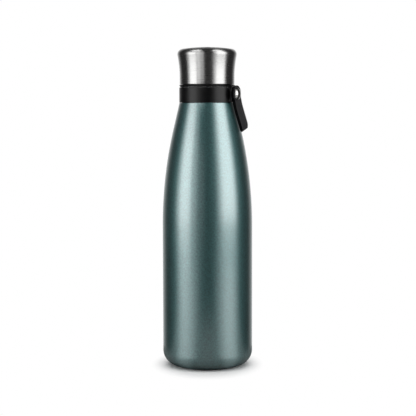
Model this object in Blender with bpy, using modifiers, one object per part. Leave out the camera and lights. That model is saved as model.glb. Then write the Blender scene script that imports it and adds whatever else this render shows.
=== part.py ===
"""A 500 ml vacuum flask: a double-walled steel bottle with a collar, a strap and a screw cap.

Metres, +Z up. The origin is on the bottle's axis, on the surface that it stands on.
The front is -Y. Every round piece is turned about Z, apart from the rivet's, which
are turned about the rivet's own axis.
"""

import math

import bmesh
import bpy
from mathutils import Matrix, Vector

MM = 0.001

# Clearances
FIT = 0.3 * MM  # between two pieces that touch on the real flask
RUN = 0.5 * MM  # between threads and other pieces that slide past each other

# Bottle
BODY_RADIUS = 36.4 * MM
STRAIGHT_TOP = 114.0 * MM  # height where the straight side ends
SHOULDER_TOP = 213.6 * MM  # height of the ledge under the collar
SHOULDER_TURN = 1.65  # steepest slope of the shoulder over its mean slope, from 1 to 2
SHOULDER_EDGE = 0.8 * MM  # rounding where the shoulder meets its ledge
BASE_CORNER = 12.0 * MM
FOOT_WIDTH = 3.0 * MM
WALL = 0.5 * MM
VACUUM_GAP = 3.0 * MM

# Foot recess
LIP_HEIGHT = 3.4 * MM
PLATE_THICKNESS = 0.6 * MM
PLATE_RISE = 1.4 * MM  # how far the plate's middle is dished upward
PLATE_DISH_RADIUS = 8.0 * MM
COVER_THICKNESS = 0.8 * MM
COVER_RECESS = 0.8 * MM  # from the table up to the cover
BEAD_RADIUS = 2.4 * MM
BEAD_HEIGHT = 1.0 * MM

# Liner
FLOOR_HEIGHT = 9.0 * MM  # underside of the liner's floor
LINER_CORNER = 9.0 * MM
FLOOR_RISE = 1.5 * MM
FOIL_THICKNESS = 0.25 * MM
FOIL_TOP = 196.0 * MM
FOIL_BOTTOM = 22.0 * MM
GETTER_RADIUS = 6.0 * MM
GETTER_THICKNESS = 2.4 * MM

# Neck
COLLAR_RADIUS = 22.5 * MM
COLLAR_HEIGHT = 11.9 * MM
COLLAR_WALL = 2.1 * MM
COLLAR_EDGE = 0.6 * MM
SHOULDER_STEP = 0.1 * MM  # the collar stands this far proud of the shoulder
NECK_GAP = 1.2 * MM  # vacuum gap in the neck
LIP_OVERHANG = 1.1 * MM  # the mouth lip overhangs the neck and keeps the collar on
MOUTH_DROP = 0.5 * MM  # the mouth is this far below the collar's top

# Thread
THREAD_STARTS = 3
THREAD_LEAD = 12.0 * MM
THREAD_SWEEP = math.radians(200)
THREAD_DEPTH = 1.0 * MM
THREAD_TIP = 0.8 * MM  # axial width of a ridge at its tip
THREAD_FLANK = 0.4  # axial growth of each flank per unit of depth
THREAD_TOP_MARGIN = 4.4 * MM  # from the mouth down to the upper end of the neck's ridges
SEAT_BELOW_THREAD = 2.8 * MM  # from the neck ridges' lower end down to the seat's chamfer
SEAT_LENGTH = 5.0 * MM
THREAD_ROOT = 0.25 * MM  # how far a ridge is rooted in its wall

# Cap
LIP_STEP = 0.25 * MM  # the stem's lip is set back from the collar by this
LIP_THICKNESS = 1.9 * MM
CAP_STEP = 0.15 * MM  # the steel cover is set back from the lip by this
CAP_HEIGHT = 29.4 * MM  # from the cover's lower edge to its middle
CAP_WALL = 0.5 * MM
CAP_FLARE = 1.85 * MM
CAP_STRAIGHT = 5.0 * MM  # plain length at the bottom of the cover
CAP_CORNER = 4.2 * MM
CAP_CROWN = 1.5 * MM
LINER_WALL = 1.3 * MM
LINER_TOP_GAP = 0.9 * MM
SPIGOT_HEIGHT = 3.5 * MM
SPIGOT_WALL = 1.5 * MM
STEM_WALL = 3.0 * MM
SEAL_WIDTH = 3.0 * MM
SEAL_DEPTH = 1.4 * MM
GASKET_THICKNESS = 1.2 * MM
GASKET_WIDTH = 2.2 * MM
LIP_RIM = 0.8 * MM  # wall of the lip outside the gasket's groove
LIP_EDGE = 0.4 * MM
SEAL_EDGE = 0.35 * MM  # how far the seal's two lips stand out
COVER_DISC = 2.1 * MM
COVER_EDGE = 0.7 * MM
COVER_PLUG = 2.6 * MM

# Strap and rivet
STRAP_AZIMUTH = math.radians(62)  # from the front towards +X
PAD_HEIGHT = 2.1 * MM  # pad's face over the collar's surface
PAD_WIDTH = 8.0 * MM
PAD_EDGE = 0.6 * MM
RIVET_DROP = 5.3 * MM  # from the collar's top to the rivet's axis
STRAP_WIDTH = 11.4 * MM
STRAP_TRIM = 1.0 * MM  # cut from the sides and the end of the folded blank
STRAP_LAYER = 0.9 * MM
STRAP_SLIT = 0.25 * MM  # gap between the two layers at the rivet
STRAP_FOLD_GAP = 0.3 * MM  # the same gap at the fold
STRAP_LENGTH = 30.4 * MM  # from the rivet's axis to the fold
STRAP_END = 6.6 * MM  # from the rivet's axis up to the strap's end
STRAP_CORNER = 5.0 * MM  # rounding of that end's corners
STRAP_FOLD_CORNER = 3.0 * MM  # rounding of the corners at the fold
STRAP_FLAT = 4.0 * MM  # flat length below the rivet's axis
STRAP_BEND_RADIUS = 60.0 * MM
STRAP_LEAN = math.radians(9.7)  # how far the strap stands out from the upright
STRAP_TILT = math.radians(17)  # how far it is swung round the rivet
SHANK_RADIUS = 2.0 * MM
POST_FLANGE_RADIUS = 3.7 * MM
POST_FLANGE = 0.6 * MM
WASHER_RADIUS = 4.7 * MM
WASHER_THICKNESS = 0.5 * MM
DOME_RADIUS = 3.8 * MM
DOME_HEIGHT = 1.8 * MM
DOME_RIM = 0.5 * MM
DOME_SOCKET = 0.8 * MM

# Facets
BODY_STEPS = 40  # round a full turn
CAP_STEPS = 32
SMALL_STEPS = 24
THREAD_STEPS = 20  # along one ridge
CURVE_STEPS = 6  # along one arc of an outline
STRAP_STEPS = 10  # along one side of the strap
WELD = 0.01 * MM  # points nearer than this become one

# Levels and radii that follow
COLLAR_BOTTOM = SHOULDER_TOP + FIT
COLLAR_TOP = COLLAR_BOTTOM + COLLAR_HEIGHT
COLLAR_BORE = COLLAR_RADIUS - COLLAR_WALL
NECK_RADIUS = COLLAR_BORE - FIT
SHOULDER_TOP_RADIUS = COLLAR_RADIUS - SHOULDER_STEP
MOUTH = COLLAR_TOP - MOUTH_DROP
LINER_NECK_RADIUS = NECK_RADIUS - WALL - NECK_GAP
BORE_RADIUS = LINER_NECK_RADIUS - WALL
RIDGE_RADIUS = BORE_RADIUS - THREAD_DEPTH  # inner tip of the neck's ridges
THREAD_TOP = MOUTH - THREAD_TOP_MARGIN
THREAD_BOTTOM = THREAD_TOP - THREAD_LEAD * THREAD_SWEEP / math.tau
SEAT_TOP = THREAD_BOTTOM - SEAT_BELOW_THREAD
SEAT_BOTTOM = SEAT_TOP - THREAD_DEPTH - SEAT_LENGTH
MOUTH_LIP_RADIUS = NECK_RADIUS + LIP_OVERHANG
LINER_OFFSET = WALL + VACUUM_GAP  # from the bottle's surface in to the liner's outside

STEM_LIP_RADIUS = COLLAR_RADIUS - LIP_STEP
STEM_LIP_BOTTOM = COLLAR_TOP + FIT
STEM_LIP_TOP = STEM_LIP_BOTTOM + LIP_THICKNESS
STEM_RADIUS = RIDGE_RADIUS - RUN
STEM_BORE = STEM_RADIUS - STEM_WALL
STEM_RIDGE_RADIUS = BORE_RADIUS - FIT
CAP_RADIUS = STEM_LIP_RADIUS - CAP_STEP
CAP_BOTTOM = STEM_LIP_TOP + FIT
CAP_TOP = CAP_BOTTOM + CAP_HEIGHT
CAP_LINER_RADIUS = CAP_RADIUS - CAP_WALL - FIT
CAP_LINER_BORE = CAP_LINER_RADIUS - LINER_WALL
CAP_LINER_TOP = CAP_TOP - CAP_CROWN - CAP_WALL - LINER_TOP_GAP
SPIGOT_RADIUS = CAP_LINER_BORE - FIT
SPIGOT_BORE = SPIGOT_RADIUS - SPIGOT_WALL
SPIGOT_TOP = STEM_LIP_TOP + SPIGOT_HEIGHT
SEAL_RADIUS = RIDGE_RADIUS - FIT
SEAL_BORE = SEAL_RADIUS - SEAL_DEPTH
SEAL_TOP = SEAT_TOP - THREAD_DEPTH - FIT
SEAL_BOTTOM = SEAL_TOP - SEAL_WIDTH
STEM_BOTTOM = SEAL_BOTTOM - FIT
SEAL_SHOULDER = SEAL_TOP + FIT
COVER_TOP = STEM_BOTTOM - FIT
COVER_BOTTOM = COVER_TOP - COVER_DISC

RIVET_HEIGHT = COLLAR_TOP - RIVET_DROP
PAD_FACE = COLLAR_RADIUS + PAD_HEIGHT  # distances along the rivet's axis
STRAP_BACK = PAD_FACE + FIT
STRAP_THICKNESS = 2 * STRAP_LAYER + STRAP_SLIT
STRAP_FRONT = STRAP_BACK + STRAP_THICKNESS
STRAP_FOLD = STRAP_LENGTH - STRAP_LAYER - STRAP_FOLD_GAP / 2  # down to the fold's centre
WASHER_BACK = STRAP_FRONT + FIT
DOME_BACK = WASHER_BACK + WASHER_THICKNESS + FIT
POST_HEAD = COLLAR_BORE + FIT
SHANK_HOLE = SHANK_RADIUS + FIT
FLANGE_HOLE = POST_FLANGE_RADIUS + FIT
SHANK_END = DOME_BACK + DOME_SOCKET - FIT


def clear_scene():
    for old in list(bpy.data.objects):
        bpy.data.objects.remove(old)


def new_collection(name):
    made = bpy.data.collections.new(name)
    bpy.context.scene.collection.children.link(made)
    return made


def finish(name, colour, roughness, metallic):
    """A Principled material from an sRGB hex colour."""
    channels = [int(colour[i : i + 2], 16) / 255 for i in (0, 2, 4)]
    linear = [c / 12.92 if c <= 0.04045 else ((c + 0.055) / 1.055) ** 2.4 for c in channels]
    made = bpy.data.materials.new(name)
    made.use_nodes = True
    shader = made.node_tree.nodes["Principled BSDF"]
    shader.inputs["Base Color"].default_value = (*linear, 1)
    shader.inputs["Roughness"].default_value = roughness
    shader.inputs["Metallic"].default_value = metallic
    return made


def add(name, mesh, collection, material=None, parent=None):
    made = bpy.data.objects.new(name, mesh)
    collection.objects.link(made)
    if material:
        mesh.materials.append(material)
    made.parent = parent
    return made


def helper(made):
    """Marks an object that only cuts or joins others."""
    made.hide_render = True
    made.display_type = "WIRE"
    return made


def arc(centre, radius, start, end):
    """Points on a flat arc, from one angle to another, both ends included."""
    angles = [start + (end - start) * i / CURVE_STEPS for i in range(CURVE_STEPS + 1)]
    return [(centre[0] + radius * math.cos(a), centre[1] + radius * math.sin(a)) for a in angles]


def turned(name, profile, steps, collection, material=None, ring=False, wall=0.0, parent=None):
    """Turns (r, z) points about Z. A ring closes its profile, and a wall thickens an open one inward."""
    mesh = bpy.data.meshes.new(name)
    edges = [(i, i + 1) for i in range(len(profile) - 1)]
    if ring:
        edges.append((len(profile) - 1, 0))
    mesh.from_pydata([(r, 0, z) for r, z in profile], edges, [])
    made = add(name, mesh, collection, material, parent)
    screw = made.modifiers.new("Turn", "SCREW")
    screw.steps = steps
    screw.render_steps = steps
    screw.use_merge_vertices = True
    screw.merge_threshold = WELD
    screw.use_smooth_shade = True
    if wall:
        thick = made.modifiers.new("Wall", "SOLIDIFY")
        thick.thickness = wall
        thick.offset = -1
        thick.use_even_offset = True
    return made


def combine(made, other, operation):
    step = made.modifiers.new(other.name, "BOOLEAN")
    step.operation = operation
    step.object = other


def cylinder(name, radius, bottom, top, steps, collection, parent=None):
    """A plain cylinder along Z between two levels."""
    shape = bmesh.new()
    bmesh.ops.create_cone(
        shape, cap_ends=True, segments=steps, radius1=radius, radius2=radius, depth=top - bottom
    )
    bmesh.ops.translate(shape, vec=(0, 0, (top + bottom) / 2), verts=shape.verts)
    mesh = bpy.data.meshes.new(name)
    shape.to_mesh(mesh)
    shape.free()
    return add(name, mesh, collection, parent=parent)


def thread(name, root, tip, bottom, collection):
    """The ridges of a right-handed thread, one for each start, swept round Z from a trapezoid."""
    base = THREAD_TIP / 2 + THREAD_FLANK * abs(tip - root)
    section = [(root, -base), (tip, -THREAD_TIP / 2), (tip, THREAD_TIP / 2), (root, base)]
    shape = bmesh.new()
    for start in range(THREAD_STARTS):
        turn = math.tau * start / THREAD_STARTS
        corners = [(r * math.cos(turn), r * math.sin(turn), bottom + z) for r, z in section]
        face = shape.faces.new([shape.verts.new(corner) for corner in corners])
        climb = Vector((0, 0, THREAD_LEAD * THREAD_SWEEP / math.tau / THREAD_STEPS))
        bmesh.ops.spin(
            shape,
            geom=[face, *face.edges, *face.verts],
            axis=(0, 0, 1),
            dvec=climb,
            angle=THREAD_SWEEP,
            steps=THREAD_STEPS,
        )
    bmesh.ops.recalc_face_normals(shape, faces=shape.faces)
    mesh = bpy.data.meshes.new(name)
    shape.to_mesh(mesh)
    shape.free()
    return helper(add(name, mesh, collection))


def shoulder_slope():
    """The slope of the shoulder's cone, as an angle from the upright."""
    rise = SHOULDER_TOP - STRAIGHT_TOP
    return SHOULDER_TURN * math.atan((BODY_RADIUS - SHOULDER_TOP_RADIUS) / rise)


def shoulder_arc():
    """The radius of the arc that joins the straight side to the cone."""
    slope = shoulder_slope()
    rise = SHOULDER_TOP - STRAIGHT_TOP
    spare = rise * math.tan(slope) - (BODY_RADIUS - SHOULDER_TOP_RADIUS)
    return spare * math.cos(slope) / (1 - math.cos(slope))


def shoulder_radius(height, inset):
    """The bottle's radius at a height on the cone, for a surface set in by a distance."""
    fall = (SHOULDER_TOP - height) * math.tan(shoulder_slope())
    return SHOULDER_TOP_RADIUS + fall - inset / math.cos(shoulder_slope())


def shoulder(top, inset):
    """Points from the cone at a height down to the straight side, for a surface set in by a distance."""
    centre = (BODY_RADIUS - shoulder_arc(), STRAIGHT_TOP)
    curve = arc(centre, shoulder_arc() - inset, shoulder_slope(), 0)
    return [(shoulder_radius(top, inset), top), *curve]


def make_outer_shell(parts, paint):
    foot = BODY_RADIUS - BASE_CORNER
    edge = SHOULDER_TOP - SHOULDER_EDGE
    profile = [
        (NECK_RADIUS, MOUTH - WALL - FIT),
        (NECK_RADIUS, SHOULDER_TOP),
        (shoulder_radius(edge, 0) - SHOULDER_EDGE, SHOULDER_TOP),
        *shoulder(edge, 0),
        *arc((foot, BASE_CORNER), BASE_CORNER, 0, -math.pi / 2),
        (foot - FOOT_WIDTH, 0),
        (foot - FOOT_WIDTH - WALL, WALL),
        (foot - FOOT_WIDTH - WALL, LIP_HEIGHT),
    ]
    return turned("outer_shell", profile, BODY_STEPS, parts, paint, wall=WALL)


def make_inner_vessel(parts, cutters, steel):
    corner = (BODY_RADIUS - LINER_OFFSET - LINER_CORNER, FLOOR_HEIGHT + LINER_CORNER)
    flare = SEAT_BOTTOM - (shoulder_radius(SEAT_BOTTOM, LINER_OFFSET) - RIDGE_RADIUS)
    profile = [
        (MOUTH_LIP_RADIUS, MOUTH - WALL),
        (LINER_NECK_RADIUS, MOUTH - WALL),
        (LINER_NECK_RADIUS, SEAT_TOP),
        (RIDGE_RADIUS + WALL, SEAT_TOP - THREAD_DEPTH),
        (RIDGE_RADIUS + WALL, SEAT_BOTTOM),
        *shoulder(flare, LINER_OFFSET),
        *arc(corner, LINER_CORNER, 0, -math.pi / 2),
        (0, FLOOR_HEIGHT + FLOOR_RISE),
    ]
    made = turned("inner_vessel", profile, BODY_STEPS, parts, steel, wall=WALL)
    ridges = thread(
        "neck_thread", BORE_RADIUS + THREAD_ROOT, RIDGE_RADIUS, THREAD_BOTTOM, cutters
    )
    combine(made, ridges, "UNION")
    return made


def make_vacuum_pieces(parts, copper, getter_metal):
    inset = LINER_OFFSET - FIT - FOIL_THICKNESS
    profile = [*shoulder(FOIL_TOP, inset), (BODY_RADIUS - inset, FOIL_BOTTOM)]
    turned("radiation_shield", profile, BODY_STEPS, parts, copper, wall=FOIL_THICKNESS)
    drop = FLOOR_RISE * GETTER_RADIUS / (BODY_RADIUS - LINER_OFFSET - LINER_CORNER)
    top = FLOOR_HEIGHT + FLOOR_RISE - drop - FIT
    made = cylinder("getter", GETTER_RADIUS, top - GETTER_THICKNESS, top, SMALL_STEPS, parts)
    made.data.materials.append(getter_metal)


def make_base(parts, steel, solder, cover_steel):
    opening = BODY_RADIUS - BASE_CORNER - FOOT_WIDTH - WALL
    plate_radius = opening - FIT
    plate_top = LIP_HEIGHT - FIT
    plate = [
        (0, plate_top + PLATE_RISE),
        (PLATE_DISH_RADIUS, plate_top + PLATE_RISE),
        (PLATE_DISH_RADIUS + PLATE_RISE, plate_top),
        (plate_radius, plate_top),
        (plate_radius, plate_top - PLATE_THICKNESS),
        (PLATE_DISH_RADIUS + PLATE_RISE, plate_top - PLATE_THICKNESS),
        (PLATE_DISH_RADIUS, plate_top + PLATE_RISE - PLATE_THICKNESS),
        (0, plate_top + PLATE_RISE - PLATE_THICKNESS),
    ]
    turned("base_plate", plate, BODY_STEPS, parts, steel)
    bead_top = plate_top + PLATE_RISE - PLATE_THICKNESS - FIT
    quarter = arc((0, 0), 1, 0, -math.pi / 2)
    bead = [(BEAD_RADIUS * x, bead_top + BEAD_HEIGHT * y) for x, y in quarter]
    turned("vacuum_seal", [(0, bead_top), *bead], SMALL_STEPS, parts, solder)
    cover = cylinder(
        "base_cover", plate_radius, COVER_RECESS, COVER_RECESS + COVER_THICKNESS, BODY_STEPS, parts
    )
    cover.data.materials.append(cover_steel)


def cap_outline():
    """The cover's outer surface, from its middle out and down to its lower edge.

    The top is a shallow parabola. The rounded top edge and the hollow flare below it
    are two arcs that touch.
    """
    corner = (CAP_RADIUS + CAP_FLARE - CAP_CORNER, CAP_TOP - CAP_CROWN - CAP_CORNER)
    straight = CAP_BOTTOM + CAP_STRAIGHT
    across = CAP_CORNER - CAP_FLARE
    rise = corner[1] - straight
    flare = (across * across + rise * rise - CAP_CORNER * CAP_CORNER) / (2 * CAP_FLARE)
    turn = math.atan2(rise, flare + across)
    crown = [(corner[0] * share, CAP_TOP - CAP_CROWN * share**2) for share in (0, 0.5)]
    return [
        *crown,
        *arc(corner, CAP_CORNER, math.pi / 2, -turn),
        *arc((CAP_RADIUS + flare, straight), flare, math.pi - turn, math.pi)[1:],
        (CAP_RADIUS, CAP_BOTTOM),
    ]


def make_cap(parts, cutters, finishes):
    turned("cap_shell", cap_outline(), CAP_STEPS, parts, finishes["steel"], wall=CAP_WALL)
    cup = [
        (0, CAP_LINER_TOP),
        (CAP_LINER_RADIUS, CAP_LINER_TOP),
        (CAP_LINER_RADIUS, CAP_BOTTOM),
    ]
    turned("cap_liner", cup, CAP_STEPS, parts, finishes["plastic"], wall=LINER_WALL)
    foam = [
        (0, CAP_LINER_TOP - LINER_WALL - FIT),
        (SPIGOT_RADIUS, CAP_LINER_TOP - LINER_WALL - FIT),
        (SPIGOT_RADIUS, SPIGOT_TOP + FIT),
        (SPIGOT_BORE - FIT, SPIGOT_TOP + FIT),
        (SPIGOT_BORE - FIT, STEM_LIP_TOP + FIT),
        (0, STEM_LIP_TOP + FIT),
    ]
    turned("cap_foam", foam, SMALL_STEPS, parts, finishes["foam"])
    make_stem(parts, cutters, finishes)
    make_seals(parts, finishes["silicone"])


def gasket_radii():
    """The inner and outer radius of the gasket under the stem's lip."""
    outer = STEM_LIP_RADIUS - LIP_RIM - FIT
    return outer - GASKET_WIDTH, outer


def make_stem(parts, cutters, finishes):
    inner, outer = gasket_radii()
    groove_top = MOUTH + FIT + GASKET_THICKNESS + FIT
    profile = [
        (SPIGOT_RADIUS, SPIGOT_TOP),
        (SPIGOT_RADIUS, STEM_LIP_TOP),
        (STEM_LIP_RADIUS - LIP_EDGE, STEM_LIP_TOP),
        (STEM_LIP_RADIUS, STEM_LIP_TOP - LIP_EDGE),
        (STEM_LIP_RADIUS, STEM_LIP_BOTTOM + LIP_EDGE),
        (STEM_LIP_RADIUS - LIP_EDGE, STEM_LIP_BOTTOM),
        (outer + FIT, STEM_LIP_BOTTOM),
        (outer + FIT, groove_top),
        (inner - FIT, groove_top),
        (inner - FIT, STEM_LIP_BOTTOM),
        (STEM_RADIUS, STEM_LIP_BOTTOM),
        (STEM_RADIUS, SEAL_SHOULDER),
        (SEAL_BORE - FIT, SEAL_SHOULDER),
        (SEAL_BORE - FIT, STEM_BOTTOM),
        (STEM_BORE, STEM_BOTTOM),
        (STEM_BORE, STEM_LIP_TOP),
        (SPIGOT_BORE, STEM_LIP_TOP),
        (SPIGOT_BORE, SPIGOT_TOP),
    ]
    stem = turned("stopper_stem", profile, CAP_STEPS, parts, finishes["plastic"], ring=True)
    engaged = THREAD_TIP + THREAD_FLANK * (STEM_RIDGE_RADIUS - RIDGE_RADIUS)
    ridges = thread(
        "stem_thread",
        STEM_RADIUS - THREAD_ROOT,
        STEM_RIDGE_RADIUS,
        THREAD_BOTTOM - engaged - FIT,
        cutters,
    )
    combine(stem, ridges, "UNION")
    bottom = COVER_TOP + COVER_PLUG + FIT
    foam = cylinder("stem_foam", STEM_BORE - FIT, bottom, STEM_LIP_TOP, SMALL_STEPS, parts)
    foam.data.materials.append(finishes["foam"])
    cover = [
        (0, COVER_TOP + COVER_PLUG),
        (STEM_BORE - FIT, COVER_TOP + COVER_PLUG),
        (STEM_BORE - FIT, COVER_TOP),
        (SEAL_RADIUS - FIT, COVER_TOP),
        (SEAL_RADIUS - FIT, COVER_BOTTOM + COVER_EDGE),
        (SEAL_RADIUS - FIT - COVER_EDGE, COVER_BOTTOM),
        (0, COVER_BOTTOM),
    ]
    turned("stopper_cover", cover, CAP_STEPS, parts, finishes["plastic"])


def make_seals(parts, silicone):
    seal = [
        (SEAL_BORE, SEAL_TOP),
        (SEAL_RADIUS - SEAL_EDGE, SEAL_TOP),
        (SEAL_RADIUS, SEAL_TOP - SEAL_EDGE),
        (SEAL_RADIUS - SEAL_EDGE, (SEAL_TOP + SEAL_BOTTOM) / 2),
        (SEAL_RADIUS, SEAL_BOTTOM + SEAL_EDGE),
        (SEAL_RADIUS - SEAL_EDGE, SEAL_BOTTOM),
        (SEAL_BORE, SEAL_BOTTOM),
    ]
    turned("stopper_seal", seal, CAP_STEPS, parts, silicone, ring=True)
    inner, outer = gasket_radii()
    bottom = MOUTH + FIT
    gasket = [
        (inner, bottom + GASKET_THICKNESS),
        (outer, bottom + GASKET_THICKNESS),
        (outer, bottom),
        (inner, bottom),
    ]
    turned("rim_gasket", gasket, CAP_STEPS, parts, silicone, ring=True)


def make_collar(parts, cutters, plastic, rivet_frame):
    counterbore = MOUTH_LIP_RADIUS + FIT
    ledge = MOUTH - WALL - FIT
    profile = [
        (counterbore, COLLAR_TOP),
        (COLLAR_RADIUS - COLLAR_EDGE, COLLAR_TOP),
        (COLLAR_RADIUS, COLLAR_TOP - COLLAR_EDGE),
        (COLLAR_RADIUS, COLLAR_BOTTOM + COLLAR_EDGE),
        (COLLAR_RADIUS - COLLAR_EDGE, COLLAR_BOTTOM),
        (COLLAR_BORE, COLLAR_BOTTOM),
        (COLLAR_BORE, ledge),
        (counterbore, ledge),
    ]
    ring = turned("collar_ring", profile, BODY_STEPS, parts, plastic, ring=True)
    back = (COLLAR_BORE + COLLAR_RADIUS) / 2
    shape = bmesh.new()
    bmesh.ops.create_cube(shape, size=1)
    tall = COLLAR_HEIGHT - 2 * COLLAR_EDGE
    bmesh.ops.scale(shape, vec=(PAD_WIDTH, tall, PAD_FACE - back), verts=shape.verts)
    lift = (COLLAR_TOP + COLLAR_BOTTOM) / 2 - RIVET_HEIGHT
    bmesh.ops.translate(shape, vec=(0, lift, (PAD_FACE + back) / 2), verts=shape.verts)
    mesh = bpy.data.meshes.new("collar_pad")
    shape.to_mesh(mesh)
    shape.free()
    pad = helper(add("collar_pad", mesh, cutters, parent=rivet_frame))
    rounding = pad.modifiers.new("Edge", "BEVEL")
    rounding.width = PAD_EDGE
    rounding.segments = 2
    combine(ring, pad, "UNION")
    # Both cutters start on the bottle's axis, so only the wall on the rivet's side is cut.
    reach = PAD_FACE + STRAP_THICKNESS
    hole = cylinder("post_hole", SHANK_HOLE, 0, reach, SMALL_STEPS, cutters, rivet_frame)
    depth = POST_HEAD + POST_FLANGE + FIT
    recess = cylinder("post_recess", FLANGE_HOLE, 0, depth, SMALL_STEPS, cutters, rivet_frame)
    for cutter in (hole, recess):
        combine(ring, helper(cutter), "DIFFERENCE")


def make_rivet(parts, chrome, frame):
    shank = [
        (0, SHANK_END),
        (SHANK_RADIUS, SHANK_END),
        (SHANK_RADIUS, POST_HEAD + POST_FLANGE),
        (POST_FLANGE_RADIUS, POST_HEAD + POST_FLANGE),
        (POST_FLANGE_RADIUS, POST_HEAD),
        (0, POST_HEAD),
    ]
    turned("rivet_post", shank, SMALL_STEPS, parts, chrome, parent=frame)
    washer = [
        (SHANK_HOLE, WASHER_BACK + WASHER_THICKNESS),
        (WASHER_RADIUS, WASHER_BACK + WASHER_THICKNESS),
        (WASHER_RADIUS, WASHER_BACK),
        (SHANK_HOLE, WASHER_BACK),
    ]
    turned("rivet_washer", washer, SMALL_STEPS, parts, chrome, ring=True, parent=frame)
    crown = DOME_HEIGHT - DOME_RIM
    ball = (DOME_RADIUS * DOME_RADIUS + crown * crown) / (2 * crown)
    centre = (0, DOME_BACK + DOME_HEIGHT - ball)
    edge = math.acos(DOME_RADIUS / ball)
    dome = [
        *arc(centre, ball, math.pi / 2, edge),
        (DOME_RADIUS, DOME_BACK),
        (SHANK_HOLE, DOME_BACK),
        (SHANK_HOLE, DOME_BACK + DOME_SOCKET),
        (0, DOME_BACK + DOME_SOCKET),
    ]
    turned("rivet_cap", dome, SMALL_STEPS, parts, chrome, parent=frame)


def strap_middle(along):
    """The point (down, out) on the strap's middle surface, and the strap's lean there."""
    bend = STRAP_BEND_RADIUS * STRAP_LEAN
    middle = (STRAP_BACK + STRAP_FRONT) / 2
    if along <= STRAP_FLAT:
        return along, middle, 0.0
    lean = min((along - STRAP_FLAT) / STRAP_BEND_RADIUS, STRAP_LEAN)
    rest = max(along - STRAP_FLAT - bend, 0.0)
    down = STRAP_FLAT + STRAP_BEND_RADIUS * math.sin(lean) + rest * math.cos(lean)
    out = middle + STRAP_BEND_RADIUS * (1 - math.cos(lean)) + rest * math.sin(lean)
    return down, out, lean


def strap_side(offset_at_top, offset_at_fold):
    """Points (down, out) at a distance from the middle surface, from the end down to the fold."""
    start = -STRAP_END - STRAP_TRIM
    points = []
    for i in range(STRAP_STEPS + 1):
        along = start + (STRAP_FOLD - start) * i / STRAP_STEPS
        opened = max(along - STRAP_FLAT, 0.0) / (STRAP_FOLD - STRAP_FLAT)
        offset = offset_at_top + (offset_at_fold - offset_at_top) * opened
        down, out, lean = strap_middle(along)
        points.append((down - offset * math.sin(lean), out + offset * math.cos(lean)))
    return points


def strap_fold(radius):
    """Points round the fold, from the outer layer to the inner one, without its ends."""
    down, out, lean = strap_middle(STRAP_FOLD)
    return arc((down, out), radius, math.pi / 2 + lean, lean - math.pi / 2)[1:-1]


def extruded(name, outline, thickness, collection):
    """A flat outline in the XY plane, given a thickness along Z, as a mesh object."""
    curve = bpy.data.curves.new(name + "_outline", "CURVE")
    curve.dimensions = "2D"
    curve.fill_mode = "BOTH"
    curve.extrude = thickness / 2
    spline = curve.splines.new("POLY")
    spline.points.add(len(outline) - 1)
    for point, (x, y) in zip(spline.points, outline):
        point.co = (x, y, 0, 1)
    spline.use_cyclic_u = True
    guide = bpy.data.objects.new(name + "_outline", curve)
    collection.objects.link(guide)
    graph = bpy.context.evaluated_depsgraph_get()
    mesh = bpy.data.meshes.new_from_object(guide.evaluated_get(graph))
    bpy.data.objects.remove(guide)
    shape = bmesh.new()
    shape.from_mesh(mesh)
    bmesh.ops.remove_doubles(shape, verts=shape.verts, dist=WELD)
    bmesh.ops.recalc_face_normals(shape, faces=shape.faces)
    shape.to_mesh(mesh)
    shape.free()
    mesh.name = name
    return add(name, mesh, collection)


def make_strap(parts, cutters, leather, frame):
    half_slit = STRAP_SLIT / 2
    half_gap = STRAP_FOLD_GAP / 2
    outside = strap_side(half_slit + STRAP_LAYER, half_gap + STRAP_LAYER)
    inside = strap_side(half_slit, half_gap)
    inside_back = strap_side(-half_slit, -half_gap)
    back = strap_side(-half_slit - STRAP_LAYER, -half_gap - STRAP_LAYER)
    outline = [
        *outside,
        *strap_fold(half_gap + STRAP_LAYER),
        *reversed(back),
        *inside_back,
        *reversed(strap_fold(half_gap)),
        *reversed(inside),
    ]
    blank = [(-down, out) for down, out in outline]
    strap = extruded("strap", blank, STRAP_WIDTH + 2 * STRAP_TRIM, parts)
    strap.data.materials.append(leather)
    strap.data.transform(side_to_front())
    strap.parent = frame
    strap.rotation_euler.z = STRAP_TILT
    half = STRAP_WIDTH / 2
    inner = half - STRAP_CORNER
    level = STRAP_END - STRAP_CORNER
    right = arc((inner, level), STRAP_CORNER, 0, math.pi / 2)
    left = arc((-inner, level), STRAP_CORNER, math.pi / 2, math.pi)
    inner = half - STRAP_FOLD_CORNER
    level = STRAP_FOLD_CORNER - max(down for down, out in strap_fold(half_gap + STRAP_LAYER))
    lower_left = arc((-inner, level), STRAP_FOLD_CORNER, math.pi, 1.5 * math.pi)
    lower_right = arc((inner, level), STRAP_FOLD_CORNER, 1.5 * math.pi, math.tau)
    outline = [*right, *left, *lower_left, *lower_right]
    depth = 2 * (STRAP_FRONT + STRAP_LENGTH)
    rounding = helper(extruded("strap_end_outline", outline, depth, cutters))
    rounding.parent = frame
    rounding.rotation_euler.z = STRAP_TILT
    combine(strap, rounding, "INTERSECT")
    hole = cylinder("strap_hole", SHANK_HOLE, PAD_FACE, WASHER_BACK, SMALL_STEPS, cutters, frame)
    combine(strap, helper(hole), "DIFFERENCE")


def side_to_front():
    """Turns an outline drawn as (up, out) into the rivet's frame: X across, Y up, Z out."""
    return Matrix(((0, 0, 1, 0), (1, 0, 0, 0), (0, 1, 0, 0), (0, 0, 0, 1)))


def make_rivet_frame(parts):
    """An empty on the axis at the rivet's height: its Z points out along the rivet, its Y up."""
    frame = bpy.data.objects.new("rivet_frame", None)
    parts.objects.link(frame)
    frame.location = (0, 0, RIVET_HEIGHT)
    frame.rotation_euler = (math.pi / 2, 0, STRAP_AZIMUTH)
    return frame


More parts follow.
